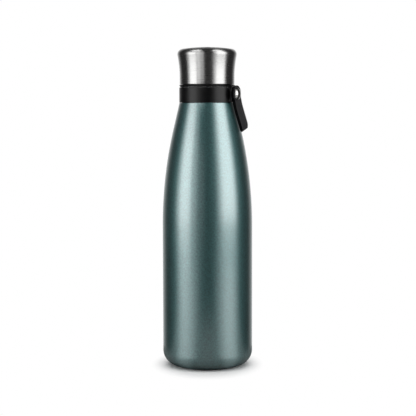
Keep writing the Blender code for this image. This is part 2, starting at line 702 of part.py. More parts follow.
def main():
    clear_scene()
    parts = new_collection("vacuum_flask")
    cutters = new_collection("cutters")
    paint = finish("teal_pearl_paint", "6C908D", 0.35, 0.6)
    steel = finish("polished_steel", "C9CACB", 0.22, 1.0)
    brushed = finish("brushed_steel", "C4C5C6", 0.3, 1.0)
    plastic = finish("black_plastic", "17181A", 0.45, 0.0)
    silicone = finish("clear_silicone", "D9DBD8", 0.5, 0.0)
    foam = finish("white_foam", "ECEAE2", 0.9, 0.0)
    copper = finish("copper_foil", "C67B52", 0.3, 1.0)
    getter_metal = finish("getter_metal", "77787A", 0.5, 1.0)
    solder = finish("solder", "A9ABAC", 0.4, 1.0)
    leather = finish("black_leather", "26272A", 0.5, 0.0)
    chrome = finish("polished_chrome", "DADBDC", 0.12, 1.0)
    frame = make_rivet_frame(parts)
    make_outer_shell(parts, paint)
    make_inner_vessel(parts, cutters, steel)
    make_vacuum_pieces(parts, copper, getter_metal)
    make_base(parts, steel, solder, brushed)
    finishes = {"steel": brushed, "plastic": plastic, "foam": foam, "silicone": silicone}
    make_cap(parts, cutters, finishes)
    make_collar(parts, cutters, plastic, frame)
    make_rivet(parts, chrome, frame)
    make_strap(parts, cutters, leather, frame)


main()
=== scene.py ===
# %% [markdown]
# # A vacuum flask
#
# A slim steel bottle with a pearl-lacquered body, a black collar that swivels on the neck and
# carries a riveted leather strap, and a spun steel screw cap with an insulated stopper.
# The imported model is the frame: each detailed piece below is drawn where its solid is,
# takes its place in the picture, and moves with the same body.

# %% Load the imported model
import math

import bmesh
import bpy
from mathutils import Matrix, Vector


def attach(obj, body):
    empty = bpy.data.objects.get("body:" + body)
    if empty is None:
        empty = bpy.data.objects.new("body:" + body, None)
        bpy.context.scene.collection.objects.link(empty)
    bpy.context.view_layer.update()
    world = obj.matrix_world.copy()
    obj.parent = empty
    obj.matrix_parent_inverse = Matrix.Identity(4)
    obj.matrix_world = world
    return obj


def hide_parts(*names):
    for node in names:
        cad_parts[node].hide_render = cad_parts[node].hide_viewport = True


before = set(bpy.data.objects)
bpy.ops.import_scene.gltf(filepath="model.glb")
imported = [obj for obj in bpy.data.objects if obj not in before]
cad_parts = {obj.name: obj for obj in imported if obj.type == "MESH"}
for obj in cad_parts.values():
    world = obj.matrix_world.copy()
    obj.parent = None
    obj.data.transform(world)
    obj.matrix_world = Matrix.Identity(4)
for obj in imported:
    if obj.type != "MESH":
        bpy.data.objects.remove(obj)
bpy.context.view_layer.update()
scene = bpy.context.scene
MM = 0.001

# %% [markdown]
# ## Camera
#
# The photograph was taken from the front with a long lens, a little above the middle of the
# bottle and tilted down by less than five degrees. The focal length is written in picture
# widths, because that is what can be measured in a photograph: the sides of the bottle and
# its two ends give the distance, the tilt and the focal length together.

# %% Camera
CAMERA_PLACE = (0.5 * MM, -1014 * MM, 212.5 * MM)
CAMERA_TILT = math.radians(4.756)  # below the horizon
CAMERA_ROLL = math.radians(-0.12)
FOCAL_WIDTHS = 1250 / 416  # focal length over picture width
SENSOR = 36.0


def add_object(name, data):
    """Puts new data in the scene under a name."""
    made = bpy.data.objects.new(name, data)
    scene.collection.objects.link(made)
    return made


lens = bpy.data.cameras.new("camera")
lens.sensor_width = SENSOR
lens.lens = FOCAL_WIDTHS * SENSOR
camera = add_object("camera", lens)
upright = Matrix.Rotation(math.pi / 2 - CAMERA_TILT, 4, "X") @ Matrix.Rotation(CAMERA_ROLL, 4, "Z")
camera.matrix_world = Matrix.Translation(CAMERA_PLACE) @ upright
scene.camera = camera
scene.view_settings.view_transform = "Standard"
print("lens in mm:", round(lens.lens, 1))

# %% [markdown]
# ## Node helpers
#
# Materials, the world and the Geometry Nodes below are all trees of nodes. One function adds
# a node: options are set by name, and a socket gets a value or the output of another node.
# Colours are written as the hex values that a painter would pick on a screen, and turned to
# the linear values that light is reckoned in.

# %% Node helpers


def linear(colour):
    """An sRGB hex colour as the linear values that a socket holds."""
    channels = [int(colour[i : i + 2], 16) / 255 for i in (0, 2, 4)]
    return (*[c / 12.92 if c <= 0.04045 else ((c + 0.055) / 1.055) ** 2.4 for c in channels], 1.0)


def add_node(tree, kind, sockets=(), **settings):
    """Adds a node, sets its options, and fills its sockets with values or other nodes' outputs."""
    made = tree.nodes.new(kind)
    for name, value in settings.items():
        setattr(made, name, value)
    for key, value in dict(sockets).items():
        if isinstance(value, bpy.types.NodeSocket):
            tree.links.new(value, made.inputs[key])
        else:
            made.inputs[key].default_value = value
    return made


print("mid grey in linear light:", round(linear("808080")[0], 3))

# %% [markdown]
# ## Lamps
#
# A polished cap shows the whole room, so the room is part of the likeness. The photograph's
# reflections tell what stood there: a tall soft box on each side, brightest in its middle, dark
# between them where the camera stood, and dark again at the sides. A single lamp for each box
# would end in a hard line on the cap, so each box is two or three lamps, one inside the other.
# A dim card carries on from the left box, two small cards stand close to the cap, and each box
# has a head that leans over the bottle. All are area lamps that the camera doesn't see but the
# metal does. The overhead lamp is the other way round: it gives the floor its soft shadow and
# isn't mirrored.

# %% Lamps
SOFT_BOX_DISTANCE = 0.7
LEFT_HEIGHTS = (0.03, 0.56)  # bottom and top, in metres as all of the studio
LEFT_CARD_HEIGHTS = (0.03, 0.42)
RIGHT_HEIGHTS = (0.06, 0.72)
CAP_CARD_DISTANCE = 0.06
CAP_CARD_HEIGHTS = (0.231, 0.28)
HEAD_SIZE = (0.46, 0.4)
HEAD_LEVEL = 2.1


def add_lamp(name, size, level):
    """An area lamp that the camera doesn't see. Its level is its brightness over the page's white."""
    lamp = bpy.data.lights.new(name, "AREA")
    lamp.shape = "RECTANGLE"
    lamp.size, lamp.size_y = size
    lamp.energy = level * math.pi * lamp.size * lamp.size_y
    made = add_object(name, lamp)
    made.visible_camera = False
    return made


def add_soft_box(name, start, end, level, heights, distance=SOFT_BOX_DISTANCE):
    """A lamp that faces the axis, between two angles in degrees from the front towards +X."""
    middle = math.radians(start + end) / 2
    half = math.radians(end - start) / 2
    bottom, top = heights
    made = add_lamp(name, (2 * distance * math.tan(half), top - bottom), level)
    made.location = (distance * math.sin(middle), -distance * math.cos(middle), (bottom + top) / 2)
    made.rotation_euler = (math.pi / 2, 0, middle)


def add_overhead(name, place, size, level):
    """A lamp that faces the floor. Size is its width and depth."""
    made = add_lamp(name, size, level)
    made.location = place
    return made


add_soft_box("soft_box_left", -76, -44, 1.5, LEFT_HEIGHTS)
add_soft_box("soft_sides_left", -87, -28, 0.75, LEFT_HEIGHTS)
add_soft_box("card_left", -28, -9, 0.17, LEFT_CARD_HEIGHTS)
add_soft_box("soft_box_right", 38, 75, 1.15, RIGHT_HEIGHTS)
add_soft_box("soft_sides_right", 30, 80, 0.75, RIGHT_HEIGHTS)
add_soft_box("soft_fringe_right", 24, 85, 0.4, RIGHT_HEIGHTS)
add_soft_box("cap_card_left", -33, -11, 0.62, CAP_CARD_HEIGHTS, CAP_CARD_DISTANCE)
add_soft_box("cap_card_right", 18, 30, 0.12, CAP_CARD_HEIGHTS, CAP_CARD_DISTANCE)
add_overhead("overhead", (0, 0, 1.3), (2.0, 2.0), 1.6).visible_glossy = False
add_overhead("box_head_left", (-0.42, -0.26, 0.8), HEAD_SIZE, HEAD_LEVEL).visible_diffuse = False
add_overhead("box_head_right", (0.42, -0.25, 0.8), HEAD_SIZE, HEAD_LEVEL).visible_diffuse = False
print("lamps:", len(bpy.data.lights))

# %% [markdown]
# ## Floor
#
# The floor is a sheet of paper. It could be a large plain plane, but the foot of the bottle
# mirrors it, so its tones matter. Near the bottle the lamps light it and it keeps the shadow;
# further out it fades to the white of the page. What the bottle mirrors of it, in rays that don't
# come from the camera, is darker than the page and differs from place to place: a pale strip of
# painted light where each soft box would light the paper, those strips painted darker near the
# foot as the bottle's painted shade, and elsewhere grey near the bottle and nearly black further
# out. From below it is clear, so that the underside can be looked at.

# %% Floor outline
FLOOR_DROP = 0.2 * MM  # under the foot, so the two surfaces don't share a plane
FLOOR_FRONT = 0.7  # how far the paper reaches in front, and behind
FLOOR_BACK = 0.09
FRONT_EDGE = 84  # degrees from the front where it steps back

outline = []
for degrees in range(-180, 180, 6):
    turn = math.radians(degrees)
    reach = FLOOR_FRONT if abs(degrees) <= FRONT_EDGE else FLOOR_BACK
    outline.append((reach * math.sin(turn), -reach * math.cos(turn), -FLOOR_DROP))
mesh = bpy.data.meshes.new("floor")
mesh.from_pydata(outline, [], [list(range(len(outline)))])
print("the floor has", len(outline), "corners")

# %% Floor paper
PAPER = "F7F7F7"
SHADE_START = 30 * MM  # the shadow fades to the page between these distances at the sides
SHADE_END = 47 * MM
SHADE_DEPTH = 0.72  # it reaches further in front and behind, by one over this
# The strips' tone is painted light, where the soft boxes would light the paper.
NEAR_TONE = 0.25  # the paper's mirrored tone near the bottle, far from it and in the strips
FAR_TONE = 0.03
STRIP_PAINTED_LIGHT = 0.93
NEAR_END = 0.18  # where the near tone starts to fade, and where it has gone
FAR_START = 0.3
STRIP_START = 14 * MM  # the strips fan out from this far in front of the axis
# Near the foot the strips are painted darker, as the bottle's shade on the paper.
STRIP_NEAR = 33 * MM  # they come up to their full tone between these distances
STRIP_FAR = 80 * MM
STRIP_PAINTED_SHADE_SHARE = 0.5  # their share of it nearer than that
PAINTED_LIGHT_STRIPS = ((-92, -67, -52, -14), (14, 49, 65, 90))  # degrees where each starts, is full, and ends
FRONT = 0.25  # where the front lies in a radial gradient

paper = bpy.data.materials.new("studio_paper")
paper.use_nodes = True
tree = paper.node_tree
tree.nodes.clear()
place = add_node(tree, "ShaderNodeTexCoord").outputs["Object"]
sockets = {"Vector": place, "Location": (0, STRIP_START, 0)}
from_front = add_node(tree, "ShaderNodeMapping", sockets).outputs[0]
round_bottle = add_node(tree, "ShaderNodeTexGradient", {0: from_front}, gradient_type="RADIAL")
# Strips of painted light, where the soft boxes would light the paper.
strips = add_node(tree, "ShaderNodeValToRGB", {0: round_bottle.outputs["Fac"]})
strips.color_ramp.elements[1].color = (0, 0, 0, 1)
for sides in PAINTED_LIGHT_STRIPS:
    for degrees, tone in zip(sides, (0, STRIP_PAINTED_LIGHT, STRIP_PAINTED_LIGHT, 0)):
        strips.color_ramp.elements.new(degrees / 360 + FRONT).color = (tone, tone, tone, 1)
away = add_node(tree, "ShaderNodeVectorMath", {0: place}, operation="LENGTH").outputs["Value"]
# The strips are painted darker near the foot, a painted shade of the bottle.
sockets = {"Value": away, "From Min": STRIP_NEAR, "From Max": STRIP_FAR, "To Min": STRIP_PAINTED_SHADE_SHARE}
rise = add_node(tree, "ShaderNodeMapRange", sockets, interpolation_type="SMOOTHSTEP")
sockets = {0: rise.outputs["Result"], 1: strips.outputs[0]}
pale = add_node(tree, "ShaderNodeMath", sockets, operation="MULTIPLY")
sockets = {"Value": away, "From Min": NEAR_END, "From Max": FAR_START}
sockets.update({"To Min": NEAR_TONE, "To Max": FAR_TONE})
near = add_node(tree, "ShaderNodeMapRange", sockets, interpolation_type="SMOOTHSTEP")
sockets = {0: near.outputs["Result"], 1: pale.outputs[0]}
mirrored_tone_with_painted_light = add_node(tree, "ShaderNodeMath", sockets, operation="MAXIMUM").outputs[0]
oval = add_node(tree, "ShaderNodeMapping", {"Vector": place, "Scale": (1, SHADE_DEPTH, 1)})
out = add_node(tree, "ShaderNodeVectorMath", {0: oval.outputs[0]}, operation="LENGTH")
sockets = {"Value": out.outputs["Value"], "From Min": SHADE_START, "From Max": SHADE_END}
fade = add_node(tree, "ShaderNodeMapRange", sockets, interpolation_type="SMOOTHSTEP")
seen = add_node(tree, "ShaderNodeLightPath").outputs["Is Camera Ray"]
sockets = {0: fade.outputs["Result"], 1: seen}
share = add_node(tree, "ShaderNodeMath", sockets, operation="MULTIPLY")
sockets = {0: seen, 6: mirrored_tone_with_painted_light, 7: linear(PAPER)}
colour = add_node(tree, "ShaderNodeMix", sockets, data_type="RGBA")
lit = add_node(tree, "ShaderNodeBsdfDiffuse", {"Color": colour.outputs[2]})
white = add_node(tree, "ShaderNodeEmission", {"Strength": 1.0})
sockets = {0: share.outputs[0], 1: lit.outputs[0], 2: white.outputs[0]}
page = add_node(tree, "ShaderNodeMixShader", sockets)
under = add_node(tree, "ShaderNodeNewGeometry").outputs["Backfacing"]
clear = add_node(tree, "ShaderNodeBsdfTransparent")
sheet = add_node(tree, "ShaderNodeMixShader", {0: under, 1: page.outputs[0], 2: clear.outputs[0]})
add_node(tree, "ShaderNodeOutputMaterial", {"Surface": sheet.outputs[0]})
mesh.materials.append(paper)
add_object("floor", mesh)
print("made", paper.name, "with", len(tree.nodes), "nodes")

# %% [markdown]
# ## Room
#
# The world is the rest of the room. The camera sees it white, as the page. Everything else meets
# a nearly dark room, and in mirrored rays that point backward a pale sheet behind the bottle,
# which edges the bottle's sides with light.

# %% Room
ROOM_LEVEL = 0.035  # the dark part of the room, over the white of the page
SHEET_EDGE = 0.55  # how far a ray points backward where it starts to meet the sheet behind

world = bpy.data.worlds.new("studio")
scene.world = world
world.use_nodes = True
tree = world.node_tree
tree.nodes.clear()
rays = add_node(tree, "ShaderNodeLightPath").outputs
heading = add_node(tree, "ShaderNodeTexCoord").outputs["Generated"]
back = add_node(tree, "ShaderNodeSeparateXYZ", {0: heading}).outputs["Y"]
near = add_node(tree, "ShaderNodeMapRange", {"Value": back, "From Min": SHEET_EDGE}).outputs["Result"]
sheet = add_node(tree, "ShaderNodeMath", {0: near, 1: near}, operation="MULTIPLY").outputs[0]
sockets = {0: rays["Is Glossy Ray"], 1: rays["Is Transmission Ray"]}
mirrored = add_node(tree, "ShaderNodeMath", sockets, operation="MAXIMUM").outputs[0]
sockets = {0: sheet, 1: mirrored, 2: ROOM_LEVEL}
room = add_node(tree, "ShaderNodeMath", sockets, operation="MULTIPLY_ADD").outputs[0]
level = add_node(tree, "ShaderNodeMath", {0: room, 1: rays["Is Camera Ray"]}, operation="MAXIMUM")
sockets = {"Color": (1, 1, 1, 1), "Strength": level.outputs[0]}
page = add_node(tree, "ShaderNodeBackground", sockets)
add_node(tree, "ShaderNodeOutputWorld", {"Surface": page.outputs[0]})
print("made the", world.name, "world with", len(tree.nodes), "nodes")

# %% [markdown]
# ## Finishes
#
# Every finish is one Principled shader, because that is what the export carries. What makes
# it look like its material is the pattern that feeds it: flakes in lacquer, turning lines in
# spun steel, pores in leather. Patterns read Object coordinates, which are in metres, so a
# pattern's scale is one over its real size. Noise seldom leaves its middle range, so that range
# is what moves a finish between its two tones and its two limits of roughness.

# %% Finish helpers
PATTERN_RANGE = {"From Min": 0.3, "From Max": 0.7}


def start_finish(name, tones, values):
    """A material with one Principled shader in the mean of two tones.

    Returns it, its tree, its shader and its coordinates.
    """
    made = bpy.data.materials.new(name)
    made.use_nodes = True
    tree = made.node_tree
    tree.nodes.clear()
    mean = [sum(pair) / 2 for pair in zip(linear(tones[0]), linear(tones[1]))]
    shader = add_node(tree, "ShaderNodeBsdfPrincipled", {"Base Color": mean, **values})
    add_node(tree, "ShaderNodeOutputMaterial", {"Surface": shader.outputs["BSDF"]})
    place = add_node(tree, "ShaderNodeTexCoord").outputs["Object"]
    return made, tree, shader, place


def patterned(tree, shader, pattern, tones=None, roughness=None, relief=None):
    """Lets a pattern move a finish between two tones, between two limits of roughness, or in relief.

    Relief is a strength, a depth in metres, and whether the pattern's high places are sunk.
    """
    if tones:
        share = add_node(tree, "ShaderNodeMapRange", {"Value": pattern, **PATTERN_RANGE})
        sockets = {0: share.outputs["Result"], 6: linear(tones[0]), 7: linear(tones[1])}
        tint = add_node(tree, "ShaderNodeMix", sockets, data_type="RGBA")
        tree.links.new(tint.outputs[2], shader.inputs["Base Color"])
    if roughness:
        limits = {"To Min": roughness[0], "To Max": roughness[1]}
        rough = add_node(tree, "ShaderNodeMapRange", {"Value": pattern, **PATTERN_RANGE, **limits})
        tree.links.new(rough.outputs["Result"], shader.inputs["Roughness"])
    if relief:
        strength, depth, sunk = relief
        sockets = {"Strength": strength, "Distance": depth, "Height": pattern}
        raised = add_node(tree, "ShaderNodeBump", sockets, invert=sunk)
        tree.links.new(raised.outputs[0], shader.inputs["Normal"])


def clouded(name, tones, roughness, patch, values, detail=2.0):
    """A finish whose tone and roughness wander over patches of a real size."""
    made, tree, shader, place = start_finish(name, tones, values)
    sockets = {"Vector": place, "Scale": 1 / patch, "Detail": detail}
    patches = add_node(tree, "ShaderNodeTexNoise", sockets)
    patterned(tree, shader, patches.outputs[0], tones, roughness)
    return made


print("finish helpers ready")

# %% [markdown]
# ### Pearl lacquer
#
# The body is sprayed with a teal base that holds aluminium and pearl flakes, under a clear
# coat. Flakes lie nearly flat, so the paint is pale where it mirrors a soft box and deep where
# it mirrors the dark room. That is how a metallic shader behaves, so the base is metallic, with
# a satin coat on top. The coat stands for the pearl as well. Pearl is mica in titanium dioxide,
# whose index is about 2.6, so it throws back far more white light than clear lacquer does, and
# the coat's index was matched from there. Real flakes are a few hundredths of a millimetre; they
# are drawn coarser, so that they show as a fine grain at this picture size.

# %% Pearl lacquer
FLAKE = 1.2 * MM
TEAL = ("3E7273", "4C8A8B")
values = {"Metallic": 1.0, "Coat Weight": 1.0, "Coat IOR": 3.0, "Coat Roughness": 0.24}
lacquer = clouded("pearl_lacquer_on_steel", TEAL, (0.47, 0.43), FLAKE, values)
print("made", lacquer.name)

# %% [markdown]
# ### Spun and brushed steel
#
# The cap is spun on a lathe and satin finished while it turns, so its fine lines run round it.
# They blur a reflection up and down but hardly sideways, which is why the cap shows upright
# bands with sharp sides. Its top is faced, which leaves coarser lines, so it is duller and shows
# the fan of light that a turned disc has. Noise that changes fast along the profile and slowly
# round the axis draws the lines, and the shader's anisotropy does the blur that is finer than
# they are.

# %% Spun and brushed steel
LINE_WIDTH = 0.5 * MM  # real lines are some hundredths of a millimetre; these show
LINE_LENGTH = 12 * MM
FACED = 0.9  # how far upward a face points where the faced top starts


def turning_lines(tree, place):
    """Noise in rings about Z: fine along the profile of a turned piece, long round it."""
    parts = add_node(tree, "ShaderNodeSeparateXYZ", {0: place})
    flat = add_node(tree, "ShaderNodeCombineXYZ", {0: parts.outputs[0], 1: parts.outputs[1]})
    radius = add_node(tree, "ShaderNodeVectorMath", {0: flat.outputs[0]}, operation="LENGTH")
    sockets = {0: radius.outputs["Value"], 1: parts.outputs[2]}
    along = add_node(tree, "ShaderNodeMath", sockets, operation="SUBTRACT")
    sockets = {0: along.outputs[0], 1: 1 / LINE_WIDTH}
    fine = add_node(tree, "ShaderNodeMath", sockets, operation="MULTIPLY")
    sockets = {0: flat.outputs[0], "Scale": 1 / LINE_LENGTH}
    slow = add_node(tree, "ShaderNodeVectorMath", sockets, operation="SCALE")
    ends = add_node(tree, "ShaderNodeSeparateXYZ", {0: slow.outputs[0]})
    sockets = {0: ends.outputs[0], 1: ends.outputs[1], 2: fine.outputs[0]}
    ring_place = add_node(tree, "ShaderNodeCombineXYZ", sockets)
    sockets = {"Vector": ring_place.outputs[0], "Scale": 1.0, "Detail": 3.0, "Roughness": 0.6}
    return add_node(tree, "ShaderNodeTexNoise", sockets).outputs[0]


def steel_finish(name, tones, roughness, anisotropy, facing=0.0):
    """Turned steel: its tones, its limits of roughness, and how far the lines stretch a highlight.

    Facing is how much rougher its faced top is.
    """
    values = {"Metallic": 1.0, "Anisotropic": anisotropy, "Anisotropic Rotation": 0.25}
    made, tree, shader, place = start_finish(name, tones, values)
    patterned(tree, shader, turning_lines(tree, place), tones, roughness)
    round_axis = add_node(tree, "ShaderNodeTangent", direction_type="RADIAL", axis="Z")
    tree.links.new(round_axis.outputs[0], shader.inputs["Tangent"])
    if facing:
        rough = shader.inputs["Roughness"].links[0].from_socket
        normal = add_node(tree, "ShaderNodeNewGeometry").outputs["Normal"]
        upward = add_node(tree, "ShaderNodeSeparateXYZ", {0: normal}).outputs[2]
        sockets = {"Value": upward, "From Min": FACED, "To Max": facing}
        extra = add_node(tree, "ShaderNodeMapRange", sockets).outputs["Result"]
        total = add_node(tree, "ShaderNodeMath", {0: rough, 1: extra}, operation="ADD")
        tree.links.new(total.outputs[0], shader.inputs["Roughness"])
    return made


spun_steel = steel_finish("spun_satin_steel", ("B8B8B7", "BFBFBE"), (0.272, 0.28), 0.8, facing=0.25)
drawn_steel = steel_finish("drawn_bright_steel", ("C6C7C8", "D0D1D1"), (0.16, 0.22), 0.3)
disc_steel = steel_finish("brushed_disc_steel", ("BDBEBF", "CACBCB"), (0.26, 0.34), 0.5)
print("made", spun_steel.name, drawn_steel.name, disc_steel.name)

# %% [markdown]
# ### Moulded black plastic
#
# The collar and the stopper are black polypropylene from a spark-eroded mould, which leaves a
# fine even grain. Voronoi cells in a bump give the grain; real grain is about a tenth of a
# millimetre, drawn here at a third of one so that it shows. The moulding's gloss drifts over a
# few millimetres, as the plastic cools unevenly.

# %% Moulded black plastic
GRAIN = 0.35 * MM
DRIFT = 4 * MM
BLACK = ("030304", "060607")
plastic, tree, shader, place = start_finish(
    "moulded_polypropylene", BLACK, {"IOR": 1.49, "Specular IOR Level": 0.4}
)
cells = add_node(tree, "ShaderNodeTexVoronoi", {"Vector": place, "Scale": 1 / GRAIN})
patterned(tree, shader, cells.outputs["Distance"], relief=(0.2, 0.03 * MM, False))
clouds = add_node(tree, "ShaderNodeTexNoise", {"Vector": place, "Scale": 1 / DRIFT})
patterned(tree, shader, clouds.outputs[0], BLACK, (0.3, 0.35))
print("made", plastic.name)

# %% [markdown]
# ### Leather
#
# The strap is black coated split leather: pebbled pores on its face, and cut edges sealed
# with black edge paint. The pebbles are Voronoi cells about 0.7 mm wide, a little
# larger than life, shallow and rounded, with a satin sheen from the coating. A slow noise bends
# their rows. The edge paint is brushed on and dries nearly dull.

# %% Leather
PEBBLE = 0.7 * MM
WOBBLE_SIZE = 1.5 * MM  # the noise that bends the pebbles' rows, and how far it bends them
WOBBLE_REACH = 0.4 * MM
HIDE = ("1E1E20", "272729")
leather, tree, shader, place = start_finish(
    "coated_black_leather", HIDE, {"IOR": 1.5, "Sheen Weight": 0.1, "Sheen Roughness": 0.4}
)
wobble = add_node(tree, "ShaderNodeTexNoise", {"Vector": place, "Scale": 1 / WOBBLE_SIZE})
sockets = {0: wobble.outputs["Color"], "Scale": WOBBLE_REACH}
shift = add_node(tree, "ShaderNodeVectorMath", sockets, operation="SCALE")
bent = add_node(tree, "ShaderNodeVectorMath", {0: place, 1: shift.outputs[0]}, operation="ADD")
sockets = {"Vector": bent.outputs[0], "Scale": 1 / PEBBLE, "Smoothness": 0.4}
pebbles = add_node(tree, "ShaderNodeTexVoronoi", sockets, feature="SMOOTH_F1").outputs["Distance"]
patterned(tree, shader, pebbles, roughness=(0.4, 0.52), relief=(0.5, 0.08 * MM, True))
patterned(tree, shader, wobble.outputs[0], tones=HIDE)

BRUSH_MARK = 1.2 * MM
EDGE_BLACK = ("030304", "050506")
values = {"IOR": 1.5, "Specular IOR Level": 0.05}
edge_paint = clouded("black_edge_paint", EDGE_BLACK, (0.5, 0.65), BRUSH_MARK, values)
print("made", leather.name, edge_paint.name)

# %% [markdown]
# ### Small metals
#
# The rivet is polished and nickel plated, the foil is copper, the getter is a grey pressed
# powder, and the vacuum is sealed with a drop of solder. They share a recipe: a metal with two
# close tones and a roughness that wanders, which is what keeps a small metal piece from
# looking like a computer's chrome.

# %% Small metals
METAL = {"Metallic": 1.0}
METAL_DETAIL = 3.0

SILVERY = ("D6D5D2", "DEDDDA")
REDDISH = ("C27A52", "CE875E")
DARK = ("6E6F70", "7E7F80")
LEADEN = ("A4A6A7", "B2B4B5")
nickel = clouded("polished_nickel_plate", SILVERY, (0.06, 0.12), 2 * MM, METAL, METAL_DETAIL)
copper = clouded("rolled_copper_foil", REDDISH, (0.25, 0.36), 9 * MM, METAL, METAL_DETAIL)
getter_powder = clouded("pressed_getter_powder", DARK, (0.5, 0.62), 0.4 * MM, METAL, METAL_DETAIL)
solder = clouded("cast_solder", LEADEN, (0.32, 0.45), 1.2 * MM, METAL, METAL_DETAIL)
print("made", nickel.name, copper.name, getter_powder.name, solder.name)

# %% [markdown]
# ### Silicone and foam
#
# The seal and the gasket are milky translucent silicone, with a dull moulded skin. The foam
# in the cap and the stem is cream polystyrene bead foam, which only shows if the cap is cut
# open, so it gets its bead pattern and nothing more.

# %% Silicone and foam
HAZE = 2.5 * MM
MILKY = ("D0D2CF", "DCDDDB")
DEEP = (1.0, 0.9, 0.8)  # how far each colour of light gets under the skin, over the scale
values = {"IOR": 1.41, "Subsurface Weight": 0.3}
values.update({"Subsurface Scale": 1.5 * MM, "Subsurface Radius": DEEP})
silicone = clouded("moulded_clear_silicone", MILKY, (0.42, 0.55), HAZE, values)

BEAD = 3 * MM
CREAM = ("ECE9E0", "DDD9CD")
foam, tree, shader, place = start_finish("bead_foam", CREAM, {"Roughness": 0.85})
beads = add_node(tree, "ShaderNodeTexVoronoi", {"Vector": place, "Scale": 1 / BEAD})
patterned(tree, shader, beads.outputs["Distance"], CREAM, relief=(0.4, 0.3 * MM, True))
print("made", silicone.name, foam.name)

# %% [markdown]
# ## Turned pieces
#
# Nearly everything on a flask is turned, so one Geometry Nodes tree makes most of the pieces.
# The wire mesh of a profile becomes a curve, the curve is swept round a circle, and the seam
# and the poles are welded. A lathe could also be done with a Screw modifier or a bmesh spin;
# the tree is chosen because the same profile idea then makes the thread as well.
#
# A profile is a list of corners in millimetres, each with a rounding. Even the long shoulder
# of the bottle is one corner, with a rounding of about 340 mm.

# %% Rounded profiles
ARC_ERROR = 0.01  # mm between an arc and its facets
GUARD = 0.25  # share of a small rounding, from its end to the point that keeps the flat flat
SMALL_ROUNDING = 5.0


def rounded(corners, ring=False):
    """Profile points from (r, z, rounding) corners in mm, with an arc for each rounding."""
    points = []
    count = len(corners)
    for i, (r, z, rounding) in enumerate(corners):
        here = Vector((r, z))
        inner = ring or 0 < i < count - 1
        if not rounding or not inner:
            points.append(here)
            continue
        back = (Vector(corners[i - 1][:2]) - here).normalized()
        on = (Vector(corners[(i + 1) % count][:2]) - here).normalized()
        half = back.angle(on) / 2
        reach = rounding / math.tan(half)
        centre = here + (back + on).normalized() * (rounding / math.sin(half))
        first = here + back * reach - centre
        last = here + on * reach - centre
        start = math.atan2(first.y, first.x)
        turn = (math.atan2(last.y, last.x) - start + math.pi) % math.tau - math.pi
        steps = max(3, math.ceil(abs(turn) / (2 * math.acos(1 - ARC_ERROR / rounding))))
        guard = GUARD * rounding if rounding < SMALL_ROUNDING else 0
        if guard:
            points.append(here + back * (reach + guard))
        for k in range(steps + 1):
            angle = start + turn * k / steps
            points.append(centre + rounding * Vector((math.cos(angle), math.sin(angle))))
        if guard:
            points.append(here + on * (reach + guard))
    return points


print("a square corner's arc:", len(rounded([(0, 0, 0), (9, 0, 2), (9, 9, 0)])), "points")

# %% Turning tree
PATH_RADIUS = 10.0  # mm; any circle will do, the profile is drawn from it
WELD = 0.002 * MM


def new_tree(name, inputs):
    """A Geometry Nodes tree with a wire profile and named inputs. Returns it and its input node."""
    tree = bpy.data.node_groups.new(name, "GeometryNodeTree")
    tree.interface.new_socket("Profile", in_out="INPUT", socket_type="NodeSocketGeometry")
    for label, kind in inputs.items():
        tree.interface.new_socket(label, in_out="INPUT", socket_type="NodeSocket" + kind)
    tree.interface.new_socket("Piece", in_out="OUTPUT", socket_type="NodeSocketGeometry")
    return tree, add_node(tree, "NodeGroupInput").outputs


def close_tree(tree, shape, finish):
    """Ends a tree: real geometry, smooth, with its finish."""
    real = add_node(tree, "GeometryNodeRealizeInstances", {0: shape})
    smooth = add_node(tree, "GeometryNodeSetShadeSmooth", {0: real.outputs[0]})
    done = add_node(tree, "GeometryNodeSetMaterial", {0: smooth.outputs[0], "Material": finish})
    add_node(tree, "NodeGroupOutput", {0: done.outputs[0]})


inputs = {"Steps": "Int", "Path radius": "Float", "Finish": "Material"}
turning, given = new_tree("turn_profile", inputs)
profile = add_node(turning, "GeometryNodeMeshToCurve", {0: given["Profile"]})
sockets = {"Resolution": given["Steps"], "Radius": given["Path radius"]}
circle = add_node(turning, "GeometryNodeCurvePrimitiveCircle", sockets)
level = add_node(turning, "GeometryNodeSetCurveNormal", {0: circle.outputs[0]}, mode="Z_UP")
sockets = {"Curve": level.outputs[0], "Profile Curve": profile.outputs[0]}
swept = add_node(turning, "GeometryNodeCurveToMesh", sockets)
welded = add_node(turning, "GeometryNodeMergeByDistance", {0: swept.outputs[0], "Distance": WELD})
close_tree(turning, welded.outputs[0], given["Finish"])
print("made", turning.name, "with", len(turning.nodes), "nodes")

# %% Growing a piece from a tree


def plain(made):
    """Replaces a piece's mesh by its evaluated one and drops its modifiers."""
    graph = bpy.context.evaluated_depsgraph_get()
    mesh = bpy.data.meshes.new_from_object(made.evaluated_get(graph))
    made.modifiers.clear()
    made.data = mesh
    mesh.name = made.name
    return made


def faced_out(made):
    """Merges doubled points, then turns the faces outward."""
    shape = bmesh.new()
    shape.from_mesh(made.data)
    bmesh.ops.remove_doubles(shape, verts=shape.verts, dist=WELD)
    bmesh.ops.recalc_face_normals(shape, faces=shape.faces)
    shape.to_mesh(made.data)
    shape.free()
    return made


def grown(name, points, ring, tree, values):
    """Runs a tree on a wire profile of (r, z) points in mm and keeps the plain mesh."""
    mesh = bpy.data.meshes.new(name)
    edges = [(i, i + 1) for i in range(len(points) - 1)]
    if ring:
        edges.append((len(points) - 1, 0))
    mesh.from_pydata([((r - PATH_RADIUS) * MM, -z * MM, 0) for r, z in points], edges, [])
    made = add_object(name, mesh)
    step = made.modifiers.new("Grow", "NODES")
    step.node_group = tree
    for socket in tree.interface.items_tree:
        if socket.name in values:
            step[socket.identifier] = values[socket.name]
    return faced_out(plain(made))


